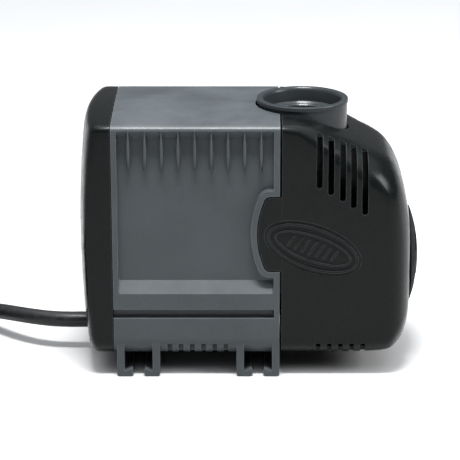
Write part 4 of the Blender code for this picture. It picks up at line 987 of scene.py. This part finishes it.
def make_chamber():
    low, high = CHAMBER_X
    chamber = solid(rod("X", (0, ROTOR_Z), CHAMBER_RADIUS, low, high, 72), "chamber_shell")
    rim = RIM_TOP - 1.8
    collar = (
        (ROTOR_Z + 12, 0), (ROTOR_Z + 12, COLLAR_FOOT), (RIM_TOP - 29.8, COLLAR_FOOT),
        (RIM_TOP - 25.8, COLLAR_RADIUS - 0.2), (rim, COLLAR_RADIUS),
        (rim, RIM_RADIUS - 0.15), (rim + 0.15, RIM_RADIUS), (RIM_TOP - 0.5, RIM_RADIUS),
        (RIM_TOP - 0.15, RIM_RADIUS - 0.15), (RIM_TOP, RIM_RADIUS - 0.5), (RIM_TOP, 0),
    )
    join(chamber, turned(collar, "Z", (OUTLET_X, 0, 0), 96))
    join(chamber, together([rod("X", at, 4.4, low, low + 4.6, 32) for at in SCREW_PLACES]))
    bore = (
        (ROTOR_Z + 5, 0), (ROTOR_Z + 5, OUTLET_THROAT), (RIM_TOP - 7.6, OUTLET_THROAT),
        (RIM_TOP - 7.2, OUTLET_THROAT + 0.4), (RIM_TOP - 7.2, OUTLET_BORE - 0.8),
        (RIM_TOP - 6.4, OUTLET_BORE),
        (RIM_TOP - 1.5, OUTLET_BORE), (RIM_TOP - 0.6, OUTLET_BORE + 0.3), (RIM_TOP, OUTLET_BORE + 0.9),
        (RIM_TOP + 2, OUTLET_BORE + 0.9),
        (RIM_TOP + 2, 0),
    )
    cut(chamber, rod("X", (0, ROTOR_Z), CHAMBER_BORE, low - 2, high - 2.4, 72))
    cut(chamber, turned(bore, "Z", (OUTLET_X, 0, 0), 96))
    cut(chamber, rod("X", (0, ROTOR_Z), INLET_RADIUS, high - 5.4, high + 2, 56))
    cut(chamber, together([rod("X", at, SCREW_HOLE, low - 1, low + 6, 24) for at in SCREW_PLACES]))
    # Low ridges round the inlet, against grit.
    combs = []
    for k in range(COMB_TEETH):
        turn = Matrix.Rotation(TURN * (k + 0.5) / COMB_TEETH, 2)
        outline = [turn @ Vector(p) for p in ((18.0, -0.45), (26.6, -0.45), (26.6, 0.45), (18.0, 0.45))]
        combs.append(prism([(y, ROTOR_Z + z) for y, z in outline], "X", high - 0.5, high + 1.0))
    join(chamber, together(combs))
    return dress(chamber, chamber_grey, "pump", "chamber_grey", "pump_chamber", edge=0.15)


# ---------------------------------------------------------------- flow dial

def make_dial():
    face = COVER_FRONT + 0.3
    base = face + 0.84
    front = dial_high.x
    hub_end = COVER_FRONT - 4.8
    profile = [(hub_end, 0), (hub_end, HUB_RADIUS - 0.4), (hub_end + 0.4, HUB_RADIUS), (face, HUB_RADIUS),
               (face, DIAL_RADIUS - 0.4), (face + 0.2, DIAL_RADIUS - 0.1), (face + 0.5, DIAL_RADIUS),
               (base, DIAL_RADIUS)]
    for k in range(1, 12):
        share = 1 - k / 12
        profile.append((base + (front - base) * (1 - share ** 2), DIAL_RADIUS * (share ** 0.9)))
    profile.append((front, 0))
    dial = solid(turned(profile, "X", (0, 0, ROTOR_Z), 96), "dial_face")
    screw_hole = rod("X", (0, ROTOR_Z), SCREW_HOLE, COVER_FRONT - 6, COVER_FRONT + 0.6, 24)
    cut(dial, together(dial_windows((face - 1, front + 2)) + [screw_hole]))
    return dress(dial, dial_black, "dial", "dial_black", "flow_dial", edge=0.2, angle=38.0)


make_housing()
make_cap()
make_cover()
make_chamber()
make_dial()


# ---------------------------------------------------------------- finishes on the other pieces

NODE_FINISHES = {
    seal_rubber: ("rear_gasket", "chamber_o_ring"),
    screw_steel: ("clamp_screw_1", "clamp_screw_2", "dial_screw", "rotor_shaft", "chamber_screw_1",
                  "chamber_screw_2", "chamber_screw_3", "chamber_screw_4"),
    chamber_grey: ("rotor_well", "inlet_bridge", "cord_clamp"),
    dial_black: ("dial_shutter",),
    core_iron: ("stator_core",),
    winding_copper: ("coil_winding_1", "coil_winding_2"),
    bobbin_nylon: ("coil_bobbin_1", "coil_bobbin_2"),
    potting_resin: ("potting_resin",),
    bearing_ceramic: ("rear_bushing", "front_bushing", "rear_thrust_washer", "front_thrust_washer"),
    magnet_ferrite: ("rotor_magnet",),
    impeller_plastic: ("impeller",),
    plug_brass: ("plug_blade_1", "plug_blade_2", "plug_ground_pin"),
    lead_brown: ("inner_lead_1",),
    lead_blue: ("inner_lead_2",),
    lead_green: ("inner_lead_3",),
}
for finish, names in NODE_FINISHES.items():
    for name in names:
        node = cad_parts[name]
        for slot in node.material_slots:
            slot.material = finish


# ---------------------------------------------------------------- floor

def add_floor():
    bm = bmesh.new()
    bmesh.ops.create_grid(bm, x_segments=2, y_segments=2, size=3.0)
    mesh = bpy.data.meshes.new("studio_floor")
    bm.to_mesh(mesh)
    bm.free()
    floor = bpy.data.objects.new("studio_floor", mesh)
    bpy.context.scene.collection.objects.link(floor)
    paper = Finish("studio_paper", Roughness=0.85)
    where = paper.place()
    cloud = paper.noise(where, 3.0, 3.0)
    pale = paper.blend(paper.range(cloud, 0.3, 0.7), rgb(0.44, 0.44, 0.44), rgb(0.46, 0.46, 0.46))
    paper.feed("Base Color", pale)
    floor.data.materials.append(paper.material)


add_floor()
